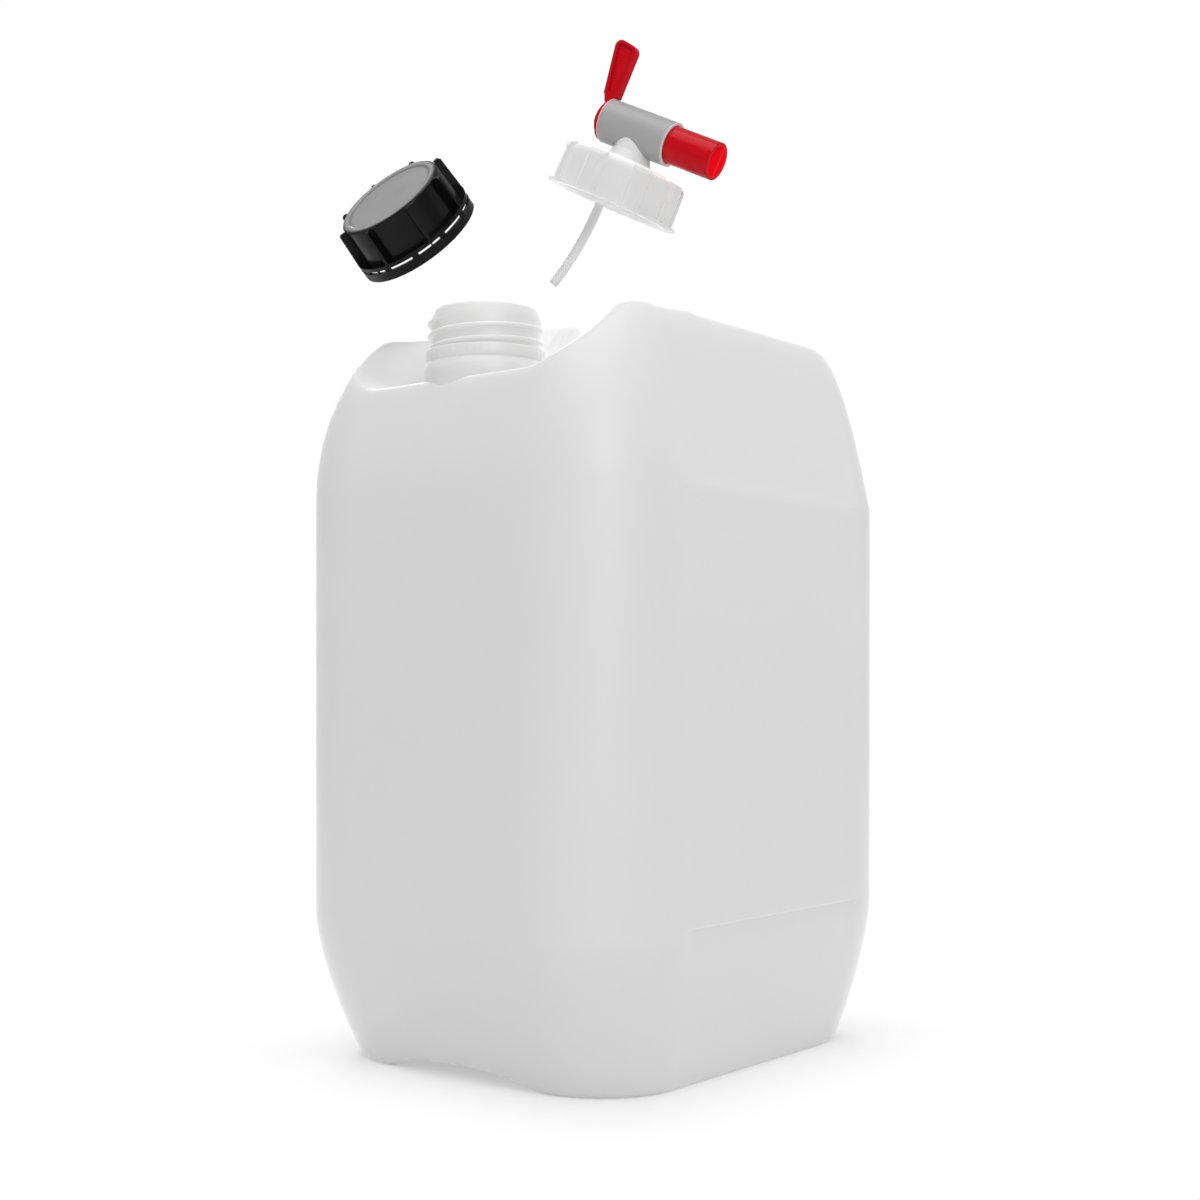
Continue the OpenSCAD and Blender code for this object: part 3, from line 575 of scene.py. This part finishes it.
def moulded_skin_group():
    """Moulded plastic: a slow cloudiness in the colour, uneven gloss, and a fine skin as a normal."""
    tree = bpy.data.node_groups.new("Moulded skin", "ShaderNodeTree")
    tone, number, vector = "NodeSocketColor", "NodeSocketFloat", "NodeSocketVector"
    for name, kind, value in (("Colour", tone, (0.8, 0.8, 0.8, 1)), ("Cloudiness", number, 0.05),
                              ("Cloud size", number, 12.0), ("Roughness", number, 0.4),
                              ("Grain size", number, 900.0), ("Grain", number, 0.1)):
        tree.interface.new_socket(name, in_out="INPUT", socket_type=kind).default_value = value
    for name, kind in (("Colour", tone), ("Roughness", number), ("Normal", vector)):
        tree.interface.new_socket(name, in_out="OUTPUT", socket_type=kind)
    into = node(tree, "NodeGroupInput", (-900, 0))
    out = node(tree, "NodeGroupOutput", (500, 0))
    where = node(tree, "ShaderNodeTexCoord", (-900, -300))
    cloud = node(tree, "ShaderNodeTexNoise", (-650, 200))
    cloud.inputs["Detail"].default_value = 3.0
    grain = node(tree, "ShaderNodeTexNoise", (-650, -250))
    grain.inputs["Detail"].default_value = 2.0
    tint = node(tree, "ShaderNodeVectorMath", (-180, 200), operation="SCALE")
    bump = node(tree, "ShaderNodeBump", (0, -250))
    bump.inputs["Distance"].default_value = 0.2 * MM
    centred = maths(tree, (-520, 60), "SUBTRACT", cloud.outputs["Fac"], 0.5)
    shade = maths(tree, (-420, 250), "MULTIPLY_ADD", centred, into.outputs["Cloudiness"], 1.0)
    gloss = maths(tree, (-180, 0), "MULTIPLY_ADD", centred, 0.25, into.outputs["Roughness"])
    link = tree.links.new
    for noise, scale in ((cloud, "Cloud size"), (grain, "Grain size")):
        link(where.outputs["Object"], noise.inputs["Vector"])
        link(into.outputs[scale], noise.inputs["Scale"])
    link(into.outputs["Colour"], tint.inputs[0])
    link(shade, tint.inputs["Scale"])
    link(grain.outputs["Fac"], bump.inputs["Height"])
    link(into.outputs["Grain"], bump.inputs["Strength"])
    link(tint.outputs[0], out.inputs["Colour"])
    link(gloss, out.inputs["Roughness"])
    link(bump.outputs["Normal"], out.inputs["Normal"])
    return tree


def plastic(name, tint, roughness, cloudiness, cloud_size, grain, grain_size, milky=0.0, shine=0.5):
    """A moulded plastic. milky is how much light goes in and scatters under the surface, and shine how much
    it mirrors. Returns the material and its skin node."""
    made = bpy.data.materials.new(name)
    made.use_nodes = True
    tree = made.node_tree
    shader = tree.nodes["Principled BSDF"]
    group = bpy.data.node_groups.get("Moulded skin") or moulded_skin_group()
    skin = node(tree, "ShaderNodeGroup", (-350, 100), node_tree=group)
    for key, value in (("Colour", (*tint, 1)), ("Cloudiness", cloudiness), ("Cloud size", cloud_size),
                       ("Roughness", roughness), ("Grain size", grain_size), ("Grain", grain)):
        skin.inputs[key].default_value = value
    for key, target in (("Colour", "Base Color"), ("Roughness", "Roughness"), ("Normal", "Normal")):
        tree.links.new(skin.outputs[key], shader.inputs[target])
    if milky:
        shader.inputs["Subsurface Weight"].default_value = milky
        shader.inputs["Subsurface Radius"].default_value = (1.0, 0.95, 0.9)
        shader.inputs["Subsurface Scale"].default_value = 4 * MM
    shader.inputs["Specular IOR Level"].default_value = shine
    return made, skin


def let_through(made, strength, tint=(1, 1, 1)):
    """Light through a moulding's wall, of a strength from a socket."""
    shader = made.node_tree.nodes["Principled BSDF"]
    shader.inputs["Emission Color"].default_value = (*tint, 1)
    made.node_tree.links.new(strength, shader.inputs["Emission Strength"])


def edge_glow(made, strength, power, more=0.0):
    """Light through a thin milky wall: strength * facing to a power, which grows towards the outline, and
    more light from a mask where one is given."""
    tree = made.node_tree
    facing = node(tree, "ShaderNodeLayerWeight", (-900, -600))
    shaped = maths(tree, (-700, -600), "POWER", facing.outputs["Facing"], power)
    let_through(made, maths(tree, (-500, -600), "MULTIPLY_ADD", shaped, strength, more))


def split_place(tree, place, axes):
    """The surface's place in a moulding's frame, where each axis is a dot product and a shift: the node with
    X, Y and Z, and the distance from the axis that axes leaves out."""
    inverse = np.array(place.inverted())
    where = node(tree, "ShaderNodeTexCoord", (-1100, 300))
    joined = node(tree, "ShaderNodeCombineXYZ", (-680, 300))
    for row in range(3):
        height = 300 - 160 * row
        along = node(tree, "ShaderNodeVectorMath", (-920, height), operation="DOT_PRODUCT")
        along.inputs[1].default_value = inverse[row, :3]
        tree.links.new(where.outputs["Object"], along.inputs[0])
        shifted = maths(tree, (-800, height), "ADD", along.outputs["Value"], inverse[row, 3])
        tree.links.new(shifted, joined.inputs[row])
    apart = node(tree, "ShaderNodeSeparateXYZ", (-560, 560))
    flat = node(tree, "ShaderNodeVectorMath", (-560, 400), operation="MULTIPLY")
    flat.inputs[1].default_value = axes
    away = node(tree, "ShaderNodeVectorMath", (-400, 400), operation="LENGTH")
    tree.links.new(joined.outputs[0], apart.inputs[0])
    tree.links.new(joined.outputs[0], flat.inputs[0])
    tree.links.new(flat.outputs[0], away.inputs[0])
    return apart, away.outputs["Value"]


def soft_switch(tree, source, span, at, least=0.0):
    """The least value where a span in millimetres starts, 1 where it ends, and a soft step between."""
    step = node(tree, "ShaderNodeMapRange", at, interpolation_type="SMOOTHSTEP")
    for key, value in (("From Min", span[0] * MM), ("From Max", span[1] * MM), ("To Min", least)):
        step.inputs[key].default_value = value
    tree.links.new(source, step.inputs["Value"])
    return step.outputs["Result"]


def two_tone(tree, skin, mask, below, above):
    """Feeds the skin's colour with one colour where the mask is 0 and another where it is 1. Sockets 6 and
    7 of a colour mix take its two colours, and socket 2 gives the result."""
    mix = node(tree, "ShaderNodeMix", (-600, 350), data_type="RGBA")
    mix.inputs[6].default_value = (*below, 1)
    mix.inputs[7].default_value = (*above, 1)
    tree.links.new(mask, mix.inputs[0])
    tree.links.new(mix.outputs[2], skin.inputs["Colour"])


def container_finish(colours, neck_y):
    """Natural polyethylene that light comes through at the outline, in the scoop behind the neck and on its
    inside. The scoop's mask is 1 near the neck, behind its axis and over the scoop's floor."""
    made, _ = plastic("Natural polyethylene", colours.can, roughness=0.42, cloudiness=0.035, cloud_size=9.0,
                      grain=0.1, grain_size=700.0, milky=0.25)
    tree = made.node_tree
    apart, across = split_place(tree, Matrix.Translation((0, neck_y * MM, 0)), (1, 1, 0))
    near = soft_switch(tree, across, SCOOP_NEAR, (-760, 1100))
    behind = soft_switch(tree, apart.outputs["Y"], SCOOP_BEHIND, (-760, 900))
    above = soft_switch(tree, apart.outputs["Z"], SCOOP_ABOVE, (-760, 700))
    scoop = maths(tree, (-380, 900), "MULTIPLY", maths(tree, (-560, 1000), "MULTIPLY", near, behind), above)
    inner = node(tree, "ShaderNodeNewGeometry", (-560, 1300)).outputs["Backfacing"]
    inside = maths(tree, (-380, 1300), "MULTIPLY", inner, INSIDE_LIGHT)
    glow = maths(tree, (-200, 1100), "MULTIPLY_ADD", scoop, SCOOP_LIGHT, inside)
    edge_glow(made, EDGE_LIGHT, power=3.0, more=glow)
    return made


def cap_finish(colours):
    """Black plastic, with a painted reflection in grey on the flat top of the cap. The mask is 1 where the
    surface lies above the skirt's round and inside the top's edge, and lower on the ring round the sunk disc,
    where less of the painted reflection is laid."""
    made, skin = plastic("Black cap plastic", colours.cap, roughness=0.22, cloudiness=0.15, cloud_size=60.0,
                         grain=0.1, grain_size=1600.0, shine=0.18)
    tree = made.node_tree
    apart, across = split_place(tree, CAP_PLACE, (1, 1, 0))
    # These masks lay the painted reflection in grey on the cap's flat top, with less of it on the ring round
    # the sunk disc.
    high = soft_switch(tree, apart.outputs["Z"], CAP_ABOVE, (-760, 700))
    outer = soft_switch(tree, across, CAP_OUTER, (-760, 900))
    flat = maths(tree, (-600, 800), "SUBTRACT", high, outer, clamp=True)
    from_disc = maths(tree, (-760, 1100), "SUBTRACT", across, DISC_R * MM)
    from_disc = maths(tree, (-600, 1100), "ABSOLUTE", from_disc)
    clear = soft_switch(tree, from_disc, OFF_DISC, (-440, 1100), least=DISC_RING_REFLECTION)
    two_tone(tree, skin, maths(tree, (-280, 900), "MULTIPLY", flat, clear), colours.cap, colours.cap_top_reflection)
    return made


def disc_finish(colours):
    """Foamed plastic of the cap's sealing disc."""
    made, _ = plastic("Foamed sealing disc", colours.disc, roughness=0.6, cloudiness=0.05, cloud_size=80.0,
                      grain=0.3, grain_size=2500.0)
    return made


def nut_finish(colours):
    """Milky plastic of the union nut, with the light that its thin skirt lets into its inside. The mask is 1
    within the radius of its inner wall."""
    made, _ = plastic("Milky tap plastic", colours.nut, roughness=0.42, cloudiness=0.05, cloud_size=40.0,
                      grain=0.08, grain_size=1400.0, milky=0.3)
    tree = made.node_tree
    _, across = split_place(tree, TAP_PLACE, (1, 1, 0))
    inside = soft_switch(tree, across, NUT_INSIDE, (-760, 900))
    edge_glow(made, EDGE_LIGHT, power=2.0, more=maths(tree, (-400, 800), "MULTIPLY", inside, NUT_LIGHT))
    return made


def gasket_finish(colours):
    """Pale rubber of the gasket, its tone partly raised as painted light for the light that comes through the
    nut, and glowing in that light.
    """
    made, _ = plastic("Gasket rubber", colours.gasket, roughness=0.7, cloudiness=0.08, cloud_size=60.0,
                      grain=0.25, grain_size=2200.0)
    edge_glow(made, NUT_LIGHT, power=1.0)
    return made


def tap_body_finish(colours):
    """Milky plastic for the stem and the barrel, with painted shade in grey on the barrel, whose two end edges
    stay pale. The mask is 1 outside the barrel's radius or near its ends. The flange glows softly from the
    light that comes through the nut."""
    made, skin = plastic("Tap body plastic", colours.nut, roughness=0.4, cloudiness=0.05, cloud_size=40.0,
                         grain=0.08, grain_size=1400.0, milky=0.15)
    tree = made.node_tree
    apart, across = split_place(tree, BARREL_PLACE, (0, 1, 1))
    stem = soft_switch(tree, across, OFF_BARREL_SHADE, (-760, 700))
    along = maths(tree, (-900, 900), "ABSOLUTE", apart.outputs["X"])
    end = soft_switch(tree, along, BARREL_SHADE_END, (-760, 900))
    # The grey laid on the barrel here is painted shade.
    two_tone(tree, skin, maths(tree, (-600, 800), "MAXIMUM", stem, end), colours.barrel, colours.nut)
    flange = soft_switch(tree, apart.outputs["Z"], FLANGE_BELOW, (-760, 1100))
    let_through(made, maths(tree, (-400, 1000), "MULTIPLY", flange, FLANGE_LIGHT))
    return made


def spindle_finish(colours):
    """Red plastic, with the light that the spout's thin wall lets into its bore. The mask is 1 within the
    bore's radius beyond the barrel's end."""
    made, _ = plastic("Red tap plastic", colours.red, roughness=0.24, cloudiness=0.05, cloud_size=50.0,
                      grain=0.05, grain_size=1500.0, shine=0.14)
    tree = made.node_tree
    apart, across = split_place(tree, BARREL_PLACE, (0, 1, 1))
    beyond = soft_switch(tree, apart.outputs["X"], SPOUT_BEYOND, (-760, 700))
    outside = soft_switch(tree, across, BORE_OUTSIDE, (-760, 900))
    bore = maths(tree, (-600, 800), "SUBTRACT", beyond, outside, clamp=True)
    let_through(made, maths(tree, (-400, 800), "MULTIPLY", bore, BORE_LIGHT), BORE_TINT)
    return made


def tube_finish(colours):
    """Milky plastic of the air tube, which light comes through."""
    made, _ = plastic("Air tube plastic", colours.tube, roughness=0.35, cloudiness=0.04, cloud_size=60.0,
                      grain=0.05, grain_size=1500.0)
    edge_glow(made, TUBE_LIGHT, power=1.0)
    return made


def finish_with(piece, material):
    """Gives a piece its finish."""
    piece.data.materials.append(material)


def finish_node(name, material, edge=0.0):
    """Gives a solid of the frame its finish in every slot, and rounds its moulded edges."""
    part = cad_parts[name]
    if not part.material_slots:
        raise RuntimeError(f"{name} has no material slot")
    for own in part.material_slots:
        own.material = material
    if edge:
        soft_round(part, edge)


# ---- Operators, one for each piece or group of like pieces

class CANSET_OT_container(bpy.types.Operator):
    """Blow-moulded container: skin, handle, neck and thread"""

    bl_idname = "canset.container"
    bl_label = "Container"

    def execute(self, context):
        s, colours = context.scene.can_sizes, context.scene.can_colours
        neck_y = NECK_BACK - s.length / MM / 2
        natural = container_finish(colours, neck_y)
        points, quads, fans = container_surface(s)
        skin = make_piece("container_skin", points, quads, "container", tris=fans)
        points, quads = handle_surface(s)
        handle = make_piece("container_handle", points, quads, "container")
        points, quads = revolve(neck_profile(s), steps=192, radius_change=collar_ratchet)
        neck = make_piece("container_neck", (points + (0, neck_y, 0)) * MM, quads, "container")
        core = s.neck_core / MM / 2
        points, quads = thread_surface(radius=core, crest=s.thread_crest / MM / 2 - core,
                                       pitch=s.thread_pitch / MM, start=-150, stop=625, low=304.8,
                                       run_out=36.0)
        thread = make_piece("container_thread", (points + (0, neck_y, 0)) * MM, quads, "container")
        for piece in (skin, handle, neck, thread):
            finish_with(piece, natural)
        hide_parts("bottle")
        return {"FINISHED"}


class CANSET_OT_screw_cap(bpy.types.Operator):
    """Black screw cap with its fins, tamper band, sealing disc and inner thread"""

    bl_idname = "canset.screw_cap"
    bl_label = "Screw cap"

    def execute(self, context):
        s, colours = context.scene.tap_sizes, context.scene.can_colours
        black = cap_finish(colours)
        finish_node("cap_shell", black, s.edge)
        finish_node("cap_band", black, s.edge / 2)
        finish_node("cap_liner", disc_finish(colours))
        points, quads = thread_surface(radius=24.75, crest=0.7, pitch=6.2, start=20, stop=500, low=8.4,
                                       inward=True)
        thread = make_piece("cap_thread", points * MM, quads, "cap", CAP_PLACE)
        finish_with(thread, black)
        return {"FINISHED"}


class CANSET_OT_tap(bpy.types.Operator):
    """Dispensing tap: union nut, gasket, body, red spindle with its lever, and air tube"""

    bl_idname = "canset.tap"
    bl_label = "Dispensing tap"

    def execute(self, context):
        s, colours = context.scene.tap_sizes, context.scene.can_colours
        milky = nut_finish(colours)
        finish_node("tap_nut", milky, s.edge * 1.6)
        points, quads = thread_surface(radius=25.5, crest=1.1, pitch=6.0, start=10, stop=520, low=2.6,
                                       inward=True)
        thread = make_piece("nut_thread", points * MM, quads, "union_nut", TAP_PLACE)
        finish_with(thread, milky)
        finish_node("nut_gasket", gasket_finish(colours))
        finish_node("tap_body", tap_body_finish(colours), s.edge)
        finish_node("tap_spindle", spindle_finish(colours), s.edge * 1.5)
        self.air_tube(s, tube_finish(colours))
        return {"FINISHED"}

    def air_tube(self, s, milky, socket_x=-5.6, socket_z=8.0, depth=41.3, bend=6.7, bend_power=2.1, steps=30):
        """The tube's outline carried along its route, outside first and back up the bore. The route goes
        down from the socket, and its x is socket_x - bend * (way below the nut's foot / depth) to a
        power."""
        z = np.linspace(socket_z, -depth, steps)
        x = socket_x - bend * np.maximum(-z / depth, 0) ** bend_power
        route = np.column_stack([x, np.zeros_like(z), z])
        way = np.gradient(route, axis=0)
        way /= np.linalg.norm(way, axis=1, keepdims=True)
        side = np.tile([0.0, 1.0, 0.0], (steps, 1))
        t = np.linspace(0, 2 * math.pi, 24, endpoint=False)
        circle = np.column_stack([np.cos(t), np.sin(t)])
        rings = np.concatenate([np.arange(steps), np.arange(steps - 1, -1, -1)])
        radius = np.concatenate([np.full(steps, s.tube / MM / 2), np.full(steps, s.tube_bore / MM / 2)])
        points, quads = carried(route[rings], side[rings], np.cross(way, side)[rings], circle, radius)
        tube = make_piece("air_tube_moulding", points * MM, quads, "tap", TAP_PLACE)
        finish_with(tube, milky)
        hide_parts("air_tube")


class CANSET_OT_stage(bpy.types.Operator):
    """Pale floor, white backdrop, soft lamps and the camera"""

    bl_idname = "canset.stage"
    bl_label = "Stage"

    def execute(self, context):
        scene = context.scene
        scene.view_settings.view_transform = "Standard"
        self.floor(scene)
        self.sky(scene)
        self.lamps(scene)
        self.camera(scene)
        return {"FINISHED"}

    def floor(self, scene):
        """A flat disc as a grid of rings."""
        points, quads = revolve([(r, 0.0) for r in (0.001, 0.5, 2.0, 8.0, 30.0)], steps=96)
        mesh = bpy.data.meshes.new("floor")
        mesh.from_pydata(points.tolist(), [], quads.tolist())
        mesh.materials.append(self.floor_finish())
        ground = bpy.data.objects.new("floor", mesh)
        scene.collection.objects.link(ground)

    def floor_finish(self, half_foot=(0.070, 0.085, 0.0), shadow=(0, 70), least_white=0.45):
        """Pale, and white to the camera apart from the object's shadow. The white share grows with the
        distance from a rectangle under the foot."""
        made = bpy.data.materials.new("Pale floor")
        made.use_nodes = True
        tree = made.node_tree
        pale = tree.nodes["Principled BSDF"]
        pale.inputs["Base Color"].default_value = (0.9, 0.9, 0.9, 1)
        pale.inputs["Roughness"].default_value = 0.8
        where = node(tree, "ShaderNodeTexCoord", (-1300, 500))
        mirrored = node(tree, "ShaderNodeVectorMath", (-1100, 500), operation="ABSOLUTE")
        beyond = node(tree, "ShaderNodeVectorMath", (-900, 500), operation="SUBTRACT")
        beyond.inputs[1].default_value = half_foot
        outside = node(tree, "ShaderNodeVectorMath", (-700, 500), operation="MAXIMUM")
        far = node(tree, "ShaderNodeVectorMath", (-500, 500), operation="LENGTH")
        white = node(tree, "ShaderNodeEmission", (0, -300))
        mix = node(tree, "ShaderNodeMixShader", (250, 0))
        link = tree.links.new
        link(where.outputs["Object"], mirrored.inputs[0])
        link(mirrored.outputs[0], beyond.inputs[0])
        link(beyond.outputs[0], outside.inputs[0])
        link(outside.outputs[0], far.inputs[0])
        share = soft_switch(tree, far.outputs["Value"], shadow, (-300, 500), least_white)
        rays = node(tree, "ShaderNodeLightPath", (-300, 300))
        link(maths(tree, (-100, 300), "MULTIPLY", rays.outputs["Is Camera Ray"], share), mix.inputs[0])
        link(pale.outputs[0], mix.inputs[1])
        link(white.outputs[0], mix.inputs[2])
        link(mix.outputs[0], tree.nodes["Material Output"].inputs["Surface"])
        return made

    def sky(self, scene, backdrop=1.0, fill=0.36):
        """White to the camera and through clear pieces, and a softer pale light on everything else."""
        world = bpy.data.worlds.new("Studio")
        scene.world = world
        world.use_nodes = True
        tree = world.node_tree
        light = tree.nodes["Background"]
        light.inputs["Color"].default_value = (1.0, 1.0, 1.0, 1)
        rays = node(tree, "ShaderNodeLightPath", (-700, 200)).outputs
        seen = maths(tree, (-500, 200), "MAXIMUM", rays["Is Camera Ray"], rays["Is Transmission Ray"])
        strength = node(tree, "ShaderNodeMapRange", (-300, 200))
        strength.inputs["To Min"].default_value = fill
        strength.inputs["To Max"].default_value = backdrop
        tree.links.new(seen, strength.inputs["Value"])
        tree.links.new(strength.outputs["Result"], light.inputs["Strength"])

    def lamps(self, scene):
        """Soft square panels, each with its place, aim, width and power."""
        for name, place, target, width, power in (
                ("Top panel", (0.25, -0.35, 1.7), (0, 0, 0.25), 1.3, 11.5),
                ("Corner panel", (1.6, -1.3, 0.9), (0, 0, 0.18), 0.8, 13.5),
                ("Side panel", (-1.2, -1.5, 0.8), (0, 0, 0.2), 1.0, 2.6),
                ("Back panel", (1.1, 1.3, 0.6), (0, 0, 0.2), 0.8, 2.2),
                ("Far panel", (-1.1, 1.0, 1.0), (0, 0, 0.25), 0.8, 12.0)):
            data = bpy.data.lights.new(name, "AREA")
            data.size, data.energy = width, power
            lamp = bpy.data.objects.new(name, data)
            lamp.location = place
            lamp.rotation_euler = (Vector(target) - Vector(place)).to_track_quat("-Z", "Y").to_euler()
            scene.collection.objects.link(lamp)

    def camera(self, scene, turn=38.286, away=0.79694, aside=-0.000298, height=0.16343,
               rise=0.0723):
        """A level camera at the container's front right corner, with the picture moved up. It is turned
        about the upright through the origin, and stands away from it and a little aside."""
        sensor, picture, focal = 36.0, 1200, 1741.66
        data = bpy.data.cameras.new("Camera")
        data.sensor_width = sensor
        data.lens = focal / picture * sensor
        data.shift_y = rise
        data.clip_start, data.clip_end = 0.05, 60.0
        angle = math.radians(turn)
        eye = bpy.data.objects.new("Camera", data)
        eye.location = (away * math.sin(angle) + aside * math.cos(angle),
                        -away * math.cos(angle) + aside * math.sin(angle), height)
        eye.rotation_euler = (math.pi / 2, 0.0, angle)
        scene.collection.objects.link(eye)
        scene.camera = eye


class CANSET_PT_sidebar(bpy.types.Panel):
    """The jerrycan's pieces in the sidebar"""

    bl_label = "Detergent Jerrycan"
    bl_idname = "CANSET_PT_sidebar"
    bl_space_type = "VIEW_3D"
    bl_region_type = "UI"
    bl_category = "Jerrycan"

    def draw(self, context):
        for settings in (context.scene.can_sizes, context.scene.tap_sizes, context.scene.can_colours):
            box = self.layout.box()
            for key in settings.bl_rna.properties.keys():
                if key not in ("rna_type", "name"):
                    box.prop(settings, key)
        for operator in OPERATORS:
            self.layout.operator(operator.bl_idname)


OPERATORS = (CANSET_OT_stage, CANSET_OT_container, CANSET_OT_screw_cap, CANSET_OT_tap)
CLASSES = (CanSizes, TapSizes, PlasticColours, *OPERATORS, CANSET_PT_sidebar)


def register():
    for cls in CLASSES:
        bpy.utils.register_class(cls)
    bpy.types.Scene.can_sizes = bpy.props.PointerProperty(type=CanSizes)
    bpy.types.Scene.tap_sizes = bpy.props.PointerProperty(type=TapSizes)
    bpy.types.Scene.can_colours = bpy.props.PointerProperty(type=PlasticColours)


def unregister():
    for name in ("can_sizes", "tap_sizes", "can_colours"):
        delattr(bpy.types.Scene, name)
    for cls in reversed(CLASSES):
        bpy.utils.unregister_class(cls)


def main():
    register()
    bpy.ops.canset.stage()
    bpy.ops.canset.container()
    bpy.ops.canset.screw_cap()
    bpy.ops.canset.tap()


if __name__ == "__main__":
    main()
